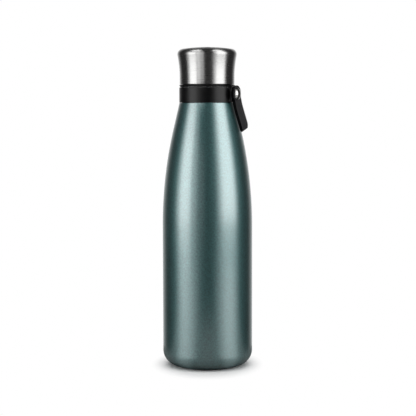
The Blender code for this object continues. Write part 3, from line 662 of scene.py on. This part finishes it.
def turned(name, points, finish, steps=128, ring=False):
    """Turns a profile about Z."""
    values = {"Steps": steps, "Path radius": PATH_RADIUS * MM, "Finish": finish}
    made = grown(name, points, ring, turning, values)
    size = [round(side / MM, 2) for side in made.dimensions]
    print(name, "is", size, "mm, with", len(made.data.polygons), "faces")
    return made


def walled(made, thickness, inside):
    """Gives a turned skin its wall, inward, with its own finish inside."""
    made.data.materials.append(inside)
    wall = made.modifiers.new("Wall", "SOLIDIFY")
    wall.thickness = thickness * MM
    wall.offset = -1
    wall.use_even_offset = True
    wall.material_offset = 1
    return plain(made)


def combined(made, other, operation):
    """Joins another shape to a piece, or cuts it away, and removes the other shape."""
    step = made.modifiers.new(operation, "BOOLEAN")
    step.operation = operation
    step.object = other
    step.solver = "EXACT"
    plain(made)
    bpy.data.objects.remove(other)
    return made


pieces = {}
print("ready to turn pieces")

# %% [markdown]
# ## Bottle
#
# The painted body is drawn steel half a millimetre thick: a straight side, a long shoulder
# that bends into a cone of about 13 degrees, a small ledge for the collar, and a foot that is
# rolled inward. Its profile is seven corners. The liner inside is bare steel, with a mouth lip
# rolled outward over the neck, a threaded neck and a smooth seat for the stopper's seal.

# %% Bottle skin
BODY_RADIUS = 36.4
STRAIGHT_TOP = 114.0
LEDGE = 213.45
LEDGE_RADIUS = 22.4
SHOULDER_TURN = 1.65  # the cone's slope over the shoulder's mean slope
WALL = 0.5
NECK_RADIUS = 20.1
NECK_TOP = 224.5
FOOT_ROUNDING = 12.0
FOOT_BORE = 20.9  # where the foot has rolled in, and how far it stands up there
FOOT_TURN_UP = 3.4

rise = LEDGE - STRAIGHT_TOP
slope = SHOULDER_TURN * math.atan((BODY_RADIUS - LEDGE_RADIUS) / rise)
bend = rise - (BODY_RADIUS - LEDGE_RADIUS) / math.tan(slope)  # from the straight to the corner
bend_radius = bend / math.tan(slope / 2)


def bottle_corner(inset):
    """The shoulder's corner for a surface set in from the bottle's skin."""
    level = STRAIGHT_TOP + bend - inset * math.tan(slope / 2)
    return BODY_RADIUS - inset, level, bend_radius - inset


shell_corners = [
    (NECK_RADIUS, NECK_TOP, 0),
    (NECK_RADIUS, LEDGE, 0.3),
    (LEDGE_RADIUS, LEDGE, 0.15),
    bottle_corner(0),
    (BODY_RADIUS, 0, FOOT_ROUNDING),
    (FOOT_BORE, 0, 0.6),
    (FOOT_BORE, FOOT_TURN_UP, 0),
]
shell = turned("bottle_shell", rounded(shell_corners), lacquer, steps=160)
pieces[walled(shell, WALL, drawn_steel)] = ("bottle", "outer_shell", "teal_pearl_paint")
print("the shoulder slopes", round(math.degrees(slope), 2), "degrees")
print("and bends to it over", round(bend_radius, 1), "mm of radius")

# %% [markdown]
# ### Threads
#
# The stopper has a three-start thread, so that the cap is off in about two thirds of a turn.
# A ridge is a trapezoid swept along a helix that fades at both ends, so a second tree draws
# one helix, sweeps the profile along it, and sets three copies round the axis. The same tree
# makes the ridges inside the neck and those on the stem.

# %% Thread tree
THREAD_STARTS = 3
THREAD_LEAD = 12.0
THREAD_SWEEP = 200 / 360  # turns
THREAD_TIP = 0.8
THREAD_FLANK = 0.4
THREAD_STEPS = 60
FADE = 0.08  # share of a ridge's length over which each end fades
FADE_TO = 0.3  # share of the ridge's size that is left at its end

inputs = {
    "Starts": "Int",
    "Steps": "Int",
    "Radius": "Float",
    "Turns": "Float",
    "Rise": "Float",
    "Bottom": "Float",
    "Finish": "Material",
}
threading, given = new_tree("thread_ridges", inputs)
profile = add_node(threading, "GeometryNodeMeshToCurve", {0: given["Profile"]})
sockets = {
    "Resolution": given["Steps"],
    "Rotations": given["Turns"],
    "Start Radius": given["Radius"],
    "End Radius": given["Radius"],
    "Height": given["Rise"],
}
helix = add_node(threading, "GeometryNodeCurveSpiral", sockets)
level = add_node(threading, "GeometryNodeSetCurveNormal", {0: helix.outputs[0]}, mode="Z_UP")
run = add_node(threading, "GeometryNodeSplineParameter").outputs["Factor"]
rest = add_node(threading, "ShaderNodeMath", {0: 1.0, 1: run}, operation="SUBTRACT")
near = add_node(threading, "ShaderNodeMath", {0: run, 1: rest.outputs[0]}, operation="MINIMUM")
sockets = {"Value": near.outputs[0], "From Max": FADE, "To Min": FADE_TO}
grow = add_node(threading, "ShaderNodeMapRange", sockets, interpolation_type="SMOOTHSTEP")
sockets = {"Curve": level.outputs[0], "Profile Curve": profile.outputs[0], "Fill Caps": True}
ridge = add_node(threading, "GeometryNodeCurveToMesh", {**sockets, "Scale": grow.outputs[0]})
place = add_node(threading, "ShaderNodeCombineXYZ", {2: given["Bottom"]})
sockets = {"Count": given["Starts"], "Position": place.outputs[0]}
starts = add_node(threading, "GeometryNodePoints", sockets)
index = add_node(threading, "GeometryNodeInputIndex").outputs[0]
step = add_node(threading, "ShaderNodeMath", {0: math.tau, 1: given["Starts"]}, operation="DIVIDE")
angle = add_node(threading, "ShaderNodeMath", {0: index, 1: step.outputs[0]}, operation="MULTIPLY")
turn = add_node(threading, "ShaderNodeCombineXYZ", {2: angle.outputs[0]})
sockets = {"Points": starts.outputs[0], "Instance": ridge.outputs[0], "Rotation": turn.outputs[0]}
copies = add_node(threading, "GeometryNodeInstanceOnPoints", sockets)
close_tree(threading, copies.outputs[0], given["Finish"])


def thread(name, root, tip, bottom, finish):
    """The ridges of the thread from a root radius to a tip radius, as a closed shape."""
    depth = tip - root
    base = THREAD_TIP / 2 + THREAD_FLANK * abs(depth)
    section = [(0, -base), (depth, -THREAD_TIP / 2), (depth, THREAD_TIP / 2), (0, base)]
    points = [(PATH_RADIUS + r, z) for r, z in section]
    values = {
        "Starts": THREAD_STARTS,
        "Steps": THREAD_STEPS,
        "Radius": root * MM,
        "Turns": THREAD_SWEEP,
        "Rise": THREAD_LEAD * THREAD_SWEEP * MM,
        "Bottom": bottom * MM,
        "Finish": finish,
    }
    made = grown(name, points, True, threading, values)
    height = round(made.dimensions.z / MM, 2)
    print(name, "has", len(made.data.polygons), "faces and is", height, "mm high")
    return made


print("made", threading.name, "with", len(threading.nodes), "nodes")


# %% Bottle liner
LINER_INSET = 3.5
LINER_FLOOR = 9.0  # its lower edge, and the middle of its floor, which is pressed up
LINER_MIDDLE = 10.5
LINER_ROUNDING = 9.0
MOUTH_LIP = 21.2
THREAD_ROOT = 0.25  # how far a ridge's root lies in the wall that carries it
MOUTH = 225.3
BORE = 17.9
SEAT_RADIUS = 16.9
SEAT_TAPER = 1.0
THREAD_BOTTOM = MOUTH - 4.4 - THREAD_LEAD * THREAD_SWEEP
SEAT_TOP = THREAD_BOTTOM - 2.8
SEAT_BOTTOM = SEAT_TOP - 6.0
cone_radius = LEDGE_RADIUS + (LEDGE - SEAT_BOTTOM) * math.tan(slope) - LINER_INSET / math.cos(slope)
flare = cone_radius - SEAT_RADIUS  # the taper under the seat falls as far as it widens
flare_level = SEAT_BOTTOM - flare
liner_corners = [
    (MOUTH_LIP, MOUTH - WALL, 0),
    (BORE + WALL, MOUTH - WALL, 0.6),
    (BORE + WALL, SEAT_TOP, 0.6),
    (SEAT_RADIUS + WALL, SEAT_TOP - SEAT_TAPER, 1.0),
    (SEAT_RADIUS + WALL, SEAT_BOTTOM, 1.2),
    (cone_radius + flare * math.tan(slope), flare_level, 1.5),
    bottle_corner(LINER_INSET),
    (BODY_RADIUS - LINER_INSET, LINER_FLOOR, LINER_ROUNDING),
    (0, LINER_MIDDLE, 0),
]
liner = walled(turned("bottle_liner", rounded(liner_corners), drawn_steel), WALL, drawn_steel)
ridges = thread("neck_thread", BORE + THREAD_ROOT, SEAT_RADIUS, THREAD_BOTTOM, drawn_steel)
pieces[combined(liner, ridges, "UNION")] = ("bottle", "inner_vessel", "polished_steel")

# %% [markdown]
# ### Foot disc
#
# Underneath, a brushed disc covers the sealing dimple. It is only seen when the flask is
# tipped, so it is a plain turned disc with a pressed ring that stiffens it.

# %% Foot disc
COVER_RADIUS = 20.6
COVER_TOP = 1.6
COVER_BOTTOM = 0.8
PRESSED_TO = 1.1  # level of the pressed ring, and its two sides at that level and at the disc's
PRESSED_SIDES = (16.2, 17.2)
PRESSED_FOOT = (15.8, 17.6)
disc_corners = [
    (0, COVER_TOP, 0),
    (COVER_RADIUS, COVER_TOP, 0.25),
    (COVER_RADIUS, COVER_BOTTOM, 0.25),
    (PRESSED_FOOT[1], COVER_BOTTOM, 0.3),
    (PRESSED_SIDES[1], PRESSED_TO, 0.3),
    (PRESSED_SIDES[0], PRESSED_TO, 0.3),
    (PRESSED_FOOT[0], COVER_BOTTOM, 0.3),
    (0, COVER_BOTTOM, 0),
]
foot_disc = turned("foot_disc", rounded(disc_corners), disc_steel)
pieces[foot_disc] = ("bottle", "base_cover", "brushed_steel")

# %% [markdown]
# ## Cap
#
# The cover is spun from one sheet: a nearly flat crown, a rounded top edge, a hollow flare
# that narrows downward, and a short straight skirt whose edge is turned in. The crown is a
# parabola, and the edge and the flare are two arcs that touch, so the reflections run through
# them without a kink. Both skins are drawn, the inner one set in by the sheet's thickness.

# %% Cap cover
CAP_RADIUS = 22.1
CAP_BOTTOM = 228.3
CAP_TOP = 258.1
CAP_FLARE = 1.85
CAP_STRAIGHT = 5.0
CAP_CORNER = 4.2
CAP_CROWN = 1.5
CROWN_STEPS = 16
ARC_STEPS = 20


def arc(centre, radius, start, end, steps):
    """Points on an arc from one angle to another."""
    angles = [start + (end - start) * k / steps for k in range(steps + 1)]
    return [Vector((centre[0] + radius * math.cos(a), centre[1] + radius * math.sin(a))) for a in angles]


def cap_skin(inset):
    """The cover's profile from the middle of its top to the top of its skirt, set in by a distance."""
    corner = (CAP_RADIUS + CAP_FLARE - CAP_CORNER, CAP_TOP - CAP_CROWN - CAP_CORNER)
    skirt_top = CAP_BOTTOM + CAP_STRAIGHT
    across = CAP_CORNER - CAP_FLARE
    rise = corner[1] - skirt_top
    hollow = (across**2 + rise**2 - CAP_CORNER**2) / (2 * CAP_FLARE)
    turn = math.atan2(rise, hollow + across)
    shares = [k / CROWN_STEPS for k in range(CROWN_STEPS)]
    crown = [Vector((corner[0] * s, CAP_TOP - inset - CAP_CROWN * s**2)) for s in shares]
    edge = arc(corner, CAP_CORNER - inset, math.pi / 2, -turn, ARC_STEPS)
    centre = (CAP_RADIUS + hollow, skirt_top)
    flare = arc(centre, hollow + inset, math.pi - turn, math.pi, ARC_STEPS)
    return [*crown, *edge, *flare[1:]]


HEM = 0.7  # the sheet and the edge that is turned in, and how far up that reaches
HEM_HEIGHT = 1.2
HEM_END = 1.5
hem_corners = [
    (CAP_RADIUS, CAP_BOTTOM + CAP_STRAIGHT, 0),
    (CAP_RADIUS, CAP_BOTTOM, 0.3),
    (CAP_RADIUS - HEM, CAP_BOTTOM, 0.2),
    (CAP_RADIUS - HEM, CAP_BOTTOM + HEM_HEIGHT, 0.1),
    (CAP_RADIUS - WALL, CAP_BOTTOM + HEM_END, 0),
]
cap_points = [*cap_skin(0), *rounded(hem_corners)[1:], *reversed(cap_skin(WALL))]
cap_cover = turned("cap_cover", cap_points, spun_steel, steps=160)
pieces[cap_cover] = ("cap", "cap_shell", "brushed_steel")

# %% [markdown]
# ### Stopper
#
# Under the cover, a black moulding shows as a thin lip between the steel and the collar. Its
# stem carries the thread and is closed by a disc. A milky ring seals on the seat inside the
# neck, and a flat gasket under the lip rests on the mouth. All are turned, and the thread is
# joined on.

# %% Stopper
LIP_BOTTOM = 226.1
LIP_EDGE = 226.7  # underside of the flange, above a set-back skirt
LIP_TOP = 228.0
LIP_RADIUS = 22.4
SKIRT_RADIUS = 21.85
GROOVE_OUTER = 21.45  # the gasket's groove
GROOVE_INNER = 18.65
GROOVE_TOP = 227.1
SPIGOT_OUTER = 19.7  # the ring that stands up inside the cover
SPIGOT_INNER = 18.2
SPIGOT_TOP = 231.5
STEM_RADIUS = 16.4
STEM_BORE = 13.4
SEAL_GROOVE = 14.9
SEAL_PLAY = 0.3
THREAD_PLAY = 0.3
SEAL_TOP = SEAT_TOP - 1.3
SEAL_BOTTOM = SEAL_TOP - 3.0
stem_corners = [
    (SPIGOT_OUTER, SPIGOT_TOP, 0.4),
    (SPIGOT_OUTER, LIP_TOP, 0.2),
    (LIP_RADIUS, LIP_TOP, 0.6),
    (LIP_RADIUS, LIP_EDGE, 0.6),
    (SKIRT_RADIUS, LIP_EDGE, 0.1),
    (SKIRT_RADIUS, LIP_BOTTOM, 0.1),
    (GROOVE_OUTER, LIP_BOTTOM, 0),
    (GROOVE_OUTER, GROOVE_TOP, 0.15),
    (GROOVE_INNER, GROOVE_TOP, 0.15),
    (GROOVE_INNER, LIP_BOTTOM, 0.15),
    (STEM_RADIUS, LIP_BOTTOM, 0.4),
    (STEM_RADIUS, SEAL_TOP + SEAL_PLAY, 0.25),
    (SEAL_GROOVE, SEAL_TOP + SEAL_PLAY, 0.15),
    (SEAL_GROOVE, SEAL_BOTTOM - SEAL_PLAY, 0.25),
    (STEM_BORE, SEAL_BOTTOM - SEAL_PLAY, 0.25),
    (STEM_BORE, LIP_TOP, 0.3),
    (SPIGOT_INNER, LIP_TOP, 0.3),
    (SPIGOT_INNER, SPIGOT_TOP, 0.3),
]
stem = turned("stopper_body", rounded(stem_corners, ring=True), plastic, ring=True)
STEM_RIDGE = BORE - THREAD_PLAY
flank = THREAD_FLANK * (STEM_RIDGE - SEAT_RADIUS)
stem_ridge_bottom = THREAD_BOTTOM - THREAD_TIP - flank - THREAD_PLAY
ridges = thread("stem_thread", STEM_RADIUS - THREAD_ROOT, STEM_RIDGE, stem_ridge_bottom, plastic)
pieces[combined(stem, ridges, "UNION")] = ("cap", "stopper_stem", "black_plastic")

# %% Stopper disc, seal and gasket
DISC_RADIUS = 16.3
DISC_TOP = SEAL_BOTTOM - 0.6
DISC_BOTTOM = DISC_TOP - 2.1
DISH_RADIUS = 12.0  # the disc's underside is dished inside this, up to its level
DISH_SLOPE = 0.6
DISH_LEVEL = DISC_TOP - 1.7
PLUG_RADIUS = 13.1  # the plug that goes up the stem's bore
PLUG_TOP = DISC_TOP + 2.6
plug_corners = [
    (0, PLUG_TOP, 0),
    (PLUG_RADIUS, PLUG_TOP, 0.4),
    (PLUG_RADIUS, DISC_TOP, 0.2),
    (DISC_RADIUS, DISC_TOP, 0.3),
    (DISC_RADIUS, DISC_BOTTOM, 0.8),
    (DISH_RADIUS, DISC_BOTTOM, 0.5),
    (DISH_RADIUS - DISH_SLOPE, DISH_LEVEL, 0.5),
    (0, DISH_LEVEL, 0),
]
plug = turned("stopper_disc", rounded(plug_corners), plastic)
pieces[plug] = ("cap", "stopper_cover", "black_plastic")

SEAL_INNER = 15.2
SEAL_EDGE = 16.45  # the ring has two round lips with a waist between them
SEAL_LIP = 16.6
SEAL_WAIST = 16.2
SEAL_LIP_INSET = 0.6
seal_corners = [
    (SEAL_INNER, SEAL_TOP, 0.25),
    (SEAL_EDGE, SEAL_TOP, 0.25),
    (SEAL_LIP, SEAL_TOP - SEAL_LIP_INSET, 0.3),
    (SEAL_WAIST, (SEAL_TOP + SEAL_BOTTOM) / 2, 0.5),
    (SEAL_LIP, SEAL_BOTTOM + SEAL_LIP_INSET, 0.3),
    (SEAL_EDGE, SEAL_BOTTOM, 0.25),
    (SEAL_INNER, SEAL_BOTTOM, 0.25),
]
seal = turned("stopper_ring", rounded(seal_corners, ring=True), silicone, ring=True)
pieces[seal] = ("seal", "stopper_seal", "clear_silicone")

GASKET_INNER = 18.95
GASKET_OUTER = 21.15
GASKET_TOP = 226.8
GASKET_BOTTOM = 225.6
gasket_corners = [
    (GASKET_INNER, GASKET_TOP, 0.3),
    (GASKET_OUTER, GASKET_TOP, 0.3),
    (GASKET_OUTER, GASKET_BOTTOM, 0.45),
    (GASKET_INNER, GASKET_BOTTOM, 0.45),
]
gasket = turned("mouth_gasket", rounded(gasket_corners, ring=True), silicone, ring=True)
pieces[gasket] = ("cap", "rim_gasket", "clear_silicone")

# %% [markdown]
# ## Collar
#
# The collar is a moulded ring that is trapped under the mouth lip, free to turn. A flat pad on
# its side takes the rivet. All of it could be one box model, but then its round would show
# facets, so the ring is turned, the pad is a box with rounded edges, and the two are joined and
# drilled. The pad, the rivet and the strap are drawn in the rivet's own frame: X across, Y up
# and Z out along the rivet.

# %% Collar
COLLAR_BOTTOM = 213.6
COLLAR_TOP = 225.8
COLLAR_RADIUS = 22.5
COLLAR_BORE = 20.4
REBATE_RADIUS = 21.5  # the mouth lip turns in this rebate
REBATE_BOTTOM = 224.5
RIVET_LEVEL = 220.5
RIVET_AZIMUTH = math.radians(62)
PAD_FACE = 24.6
rivet_turn = Matrix.Rotation(RIVET_AZIMUTH, 4, "Z") @ Matrix.Rotation(math.pi / 2, 4, "X")
rivet_frame = Matrix.Translation((0, 0, RIVET_LEVEL * MM)) @ rivet_turn

collar_corners = [
    (REBATE_RADIUS, COLLAR_TOP, 0.15),
    (COLLAR_RADIUS, COLLAR_TOP, 0.3),
    (COLLAR_RADIUS, COLLAR_BOTTOM, 0.25),
    (COLLAR_BORE, COLLAR_BOTTOM, 0.2),
    (COLLAR_BORE, REBATE_BOTTOM, 0.2),
    (REBATE_RADIUS, REBATE_BOTTOM, 0.1),
]
collar = turned("neck_collar", rounded(collar_corners, ring=True), plastic, steps=144, ring=True)

# %% Collar pad
PAD_HALF = 4.0
PAD_BACK = 21.45
PAD_RISE = 0.9  # above the collar's lower edge, and below its upper one
PAD_FALL = 0.6
PAD_ROUNDING = 0.6
POST_HOLE = 2.3
HEAD_HOLE = 4.0  # the post's head sits in the ring, up to this distance from the axis
HEAD_SEAT = 21.6
PAST_FACE = 2  # how far the drill goes past the pad's face


def from_shape(name, shape):
    """Puts a finished bmesh in the scene under a name."""
    mesh = bpy.data.meshes.new(name)
    shape.to_mesh(mesh)
    shape.free()
    return add_object(name, mesh)


def drilled(made, radius, start, end):
    """Cuts a round hole along the rivet, between two distances from the axis."""
    shape = bmesh.new()
    bmesh.ops.create_cone(
        shape,
        cap_ends=True,
        segments=48,
        radius1=radius * MM,
        radius2=radius * MM,
        depth=(end - start) * MM,
        matrix=rivet_frame @ Matrix.Translation((0, 0, (start + end) / 2 * MM)),
    )
    return combined(made, from_shape("drill", shape), "DIFFERENCE")


def rounded_box(name, low, high, rounding, finish):
    """A box between two corners of the rivet's frame, with rounded edges."""
    shape = bmesh.new()
    bmesh.ops.create_cube(shape, size=1)
    size = Vector(high) - Vector(low)
    middle = (Vector(high) + Vector(low)) / 2
    sized = Matrix.Translation(middle) @ Matrix.Diagonal((*size, 1))
    bmesh.ops.transform(shape, matrix=sized, verts=shape.verts)
    edges = shape.edges[:]
    bmesh.ops.bevel(shape, geom=edges, offset=rounding, segments=5, profile=0.5, affect="EDGES")
    bmesh.ops.transform(shape, matrix=rivet_frame @ Matrix.Scale(MM, 4), verts=shape.verts)
    for face in shape.faces:
        face.smooth = True
    made = from_shape(name, shape)
    made.data.materials.append(finish)
    return made


pad_low = (-PAD_HALF, COLLAR_BOTTOM + PAD_RISE - RIVET_LEVEL, PAD_BACK)
pad_high = (PAD_HALF, COLLAR_TOP - PAD_FALL - RIVET_LEVEL, PAD_FACE)
combined(collar, rounded_box("collar_pad", pad_low, pad_high, PAD_ROUNDING, plastic), "UNION")
drilled(collar, POST_HOLE, 0, PAD_FACE + PAST_FACE)
drilled(collar, HEAD_HOLE, 0, HEAD_SEAT)
pieces[collar] = ("collar", "collar_ring", "black_plastic")
print("neck_collar has", len(collar.data.polygons), "faces")

# %% [markdown]
# ### Rivet
#
# A polished button is pressed on the post, over a flat washer. It could be a flat disc, but in
# the photograph its middle is white, with a dark ring and a bright lower rim round it, and only
# a dome mirrors a soft box, the room and the floor at once. So its face is part of a ball, over
# a short upright edge, and the washer shows as a thin ring. Both are turned about Z like the
# rest and then laid along the rivet's axis.

# %% Rivet
WASHER_BACK = 27.4
WASHER_FACE = 28.0
WASHER_RADIUS = 4.7
BUTTON_RADIUS = 4.2
BUTTON_EDGE = 28.35  # where the wall and the face would meet
BUTTON_CROWN = 1.4
BUTTON_ROUNDING = 0.2
FACE_STEPS = 16
EDGE_SHARE = 3  # steps of the face that the edge's rounding takes
SOCKET_RADIUS = POST_HOLE
SOCKET_DEPTH = 0.8


def laid(made, turn=None):
    """Moves a piece's mesh from the rivet's frame to its place."""
    made.data.transform(rivet_frame if turn is None else rivet_frame @ turn)
    return made


washer_corners = [
    (SOCKET_RADIUS, WASHER_FACE, 0.1),
    (WASHER_RADIUS, WASHER_FACE, 0.4),
    (WASHER_RADIUS, WASHER_BACK, 0.15),
    (SOCKET_RADIUS, WASHER_BACK, 0.1),
]
washer = turned("rivet_ring", rounded(washer_corners, ring=True), nickel, steps=64, ring=True)
pieces[laid(washer)] = ("collar", "rivet_washer", "polished_chrome")

ball = (BUTTON_RADIUS**2 + BUTTON_CROWN**2) / (2 * BUTTON_CROWN)
centre = (0, BUTTON_EDGE + BUTTON_CROWN - ball)
face = arc(centre, ball, math.pi / 2, math.acos(BUTTON_RADIUS / ball), FACE_STEPS)[:-EDGE_SHARE]
rim_corners = [
    (*face[-1], 0),
    (BUTTON_RADIUS, BUTTON_EDGE, BUTTON_ROUNDING),
    (BUTTON_RADIUS, WASHER_FACE, 0.15),
    (SOCKET_RADIUS, WASHER_FACE, 0.1),
    (SOCKET_RADIUS, WASHER_FACE + SOCKET_DEPTH, 0),
    (0, WASHER_FACE + SOCKET_DEPTH, 0),
]
button = turned("rivet_dome", [*face[:-1], *rounded(rim_corners)], nickel, steps=64)
pieces[laid(button)] = ("collar", "rivet_cap", "polished_chrome")

# %% [markdown]
# ### Strap
#
# One strip of leather is folded in half, and both ends are held under the rivet. It hangs
# flat at the pad, then leans out over the shoulder. Two thin boxes would do from afar, but they
# wouldn't show that it is one strip. So the strip's middle line is followed from the front end
# down, round the fold and up again, and at each point a flat section with rounded, painted
# edges is set across it. The sections narrow to a round head over the rivet, and to two
# unequal corners at the fold.

# %% Strap
STRAP_BACK = 24.9
STRAP_LAYER = 1.1
STRAP_SLIT = 0.25
STRAP_FOLD_GAP = 0.3
STRAP_LENGTH = 30.4
STRAP_END = 6.6
HEAD_RADIUS = 6.75
NEAR_CORNER = 1.0
FAR_CORNER = 4.6
STRAP_FLAT = 4.0
STRAP_BEND = 60.0
STRAP_LEAN = math.radians(9.3)
STRAP_TILT = math.radians(17)
STRAP_WIDTH = 11.4
EDGE_ROUNDING = 0.4
EDGE_STEPS = 5
HEAD_STATIONS = 18  # sections on the head, on a layer below the rivet, and round the fold
SIDE_STATIONS = 60
FOLD_STATIONS = 16
PAINTED = 0.3  # how far a face points across the strap where the edge paint starts
STRAP_MIDDLE = STRAP_BACK + STRAP_LAYER + STRAP_SLIT / 2
FOLD_AT = STRAP_LENGTH - STRAP_LAYER - STRAP_FOLD_GAP / 2


def strap_spine(along):
    """A point (up, out) midway between the two layers, and the lean there."""
    lean = min(max(along - STRAP_FLAT, 0) / STRAP_BEND, STRAP_LEAN)
    straight = max(along - STRAP_FLAT - STRAP_BEND * STRAP_LEAN, 0)
    down = min(along, STRAP_FLAT) + STRAP_BEND * math.sin(lean) + straight * math.cos(lean)
    out = STRAP_MIDDLE + STRAP_BEND * (1 - math.cos(lean)) + straight * math.sin(lean)
    return Vector((-down, out)), lean


def half_width(along, corner):
    """Half the strap's width at a distance down from the rivet, with a corner's radius at the fold."""
    head = math.sqrt(max(HEAD_RADIUS**2 - along**2, 0))
    missing = max(corner - (STRAP_LENGTH - along), 0)
    side = STRAP_WIDTH / 2 - corner + math.sqrt(corner**2 - missing**2)
    return head if along < 0 and head < side else max(head, side)


def layer_stations(side):
    """Stations on one layer from its end to the fold: point, direction out, distance down."""
    turns = [math.pi / 2 * k / HEAD_STATIONS for k in range(HEAD_STATIONS + 1)]
    head = [-STRAP_END * math.cos(turn) for turn in turns]
    rest = [FOLD_AT * (k + 1) / SIDE_STATIONS for k in range(SIDE_STATIONS)]
    stations = []
    for along in [*head, *rest]:
        point, lean = strap_spine(along)
        opened = max(along - STRAP_FLAT, 0) / (FOLD_AT - STRAP_FLAT)
        gap = STRAP_SLIT + (STRAP_FOLD_GAP - STRAP_SLIT) * opened
        out = Vector((math.sin(lean), math.cos(lean)))
        stations.append((point + side * out * (gap + STRAP_LAYER) / 2, out * side, along))
    return stations


def fold_stations():
    """Stations round the fold, from the front layer to the back one, without its ends."""
    centre, lean = strap_spine(FOLD_AT)
    radius = (STRAP_FOLD_GAP + STRAP_LAYER) / 2
    stations = []
    for k in range(1, FOLD_STATIONS):
        turn = math.pi * k / FOLD_STATIONS
        out = Vector((-math.sin(lean + turn), math.cos(lean + turn)))
        stations.append((centre + radius * out, out, FOLD_AT + radius * math.sin(turn)))
    return stations


def strap_section(near, far):
    """One flat section (across, out) from its near to its far edge, which are rounded."""
    left = EDGE_ROUNDING - near
    right = far - EDGE_ROUNDING
    flat = STRAP_LAYER / 2 - EDGE_ROUNDING
    corners = ((right, flat, 0), (left, flat, 1), (left, -flat, 2), (right, -flat, 3))
    section = []
    for x, y, quarter in corners:
        start = quarter * math.pi / 2
        section += arc((x, y), EDGE_ROUNDING, start, start + math.pi / 2, EDGE_STEPS)
    return section


print("round the strap's edge:", len(strap_section(1, 1)), "points")

# %% Strap skin
stations = [*layer_stations(1), *fold_stations(), *reversed(layer_stations(-1))]
shape = bmesh.new()
loops = []
for point, out, along in stations:
    section = strap_section(half_width(along, NEAR_CORNER), half_width(along, FAR_CORNER))
    spots = [(p.x, *(point + out * p.y)) for p in section]
    loops.append([shape.verts.new(Vector(spot) * MM) for spot in spots])
count = len(loops[0])
for first, second in zip(loops, loops[1:]):
    for k in range(count):
        after = (k + 1) % count
        face = shape.faces.new((first[k], first[after], second[after], second[k]))
        face.smooth = True
shape.faces.new(loops[0])
shape.faces.new(loops[-1])
bmesh.ops.recalc_face_normals(shape, faces=shape.faces)
strap = from_shape("carry_strap", shape)
strap.data.materials.append(leather)
strap.data.materials.append(edge_paint)
tilt = Matrix.Rotation(STRAP_TILT, 4, "Z")
drilled(laid(strap, tilt), POST_HOLE, PAD_FACE, WASHER_BACK)
across = (rivet_turn @ tilt).to_3x3() @ Vector((1, 0, 0))
for face in strap.data.polygons:
    face.material_index = int(abs(face.normal.dot(across)) > PAINTED)
pieces[strap] = ("strap", "strap", "black_leather")
print("carry_strap has", len(strap.data.polygons), "faces")

# %% [markdown]
# ## Hidden pieces
#
# The foil, the getter, the base plate, the solder drop, the rivet's post, the cap's plastic cup
# and the foam are already the right shape in the frame. They keep their meshes and only get
# their finishes.

# %% Hidden pieces
hidden = {
    "radiation_shield": copper,
    "getter": getter_powder,
    "base_plate": drawn_steel,
    "vacuum_seal": solder,
    "rivet_post": nickel,
    "cap_liner": plastic,
    "cap_foam": foam,
    "stem_foam": foam,
}
for node, finish in hidden.items():
    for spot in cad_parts[node].material_slots:
        spot.material = finish
print("kept:", ", ".join(hidden))

# %% [markdown]
# ## Joining the frame
#
# Each piece rides on its body and stands for its solid, whose own mesh is hidden.

# %% Joining the frame
for piece, (body, node, finish_slot) in pieces.items():
    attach(piece, body)
    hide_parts(node)
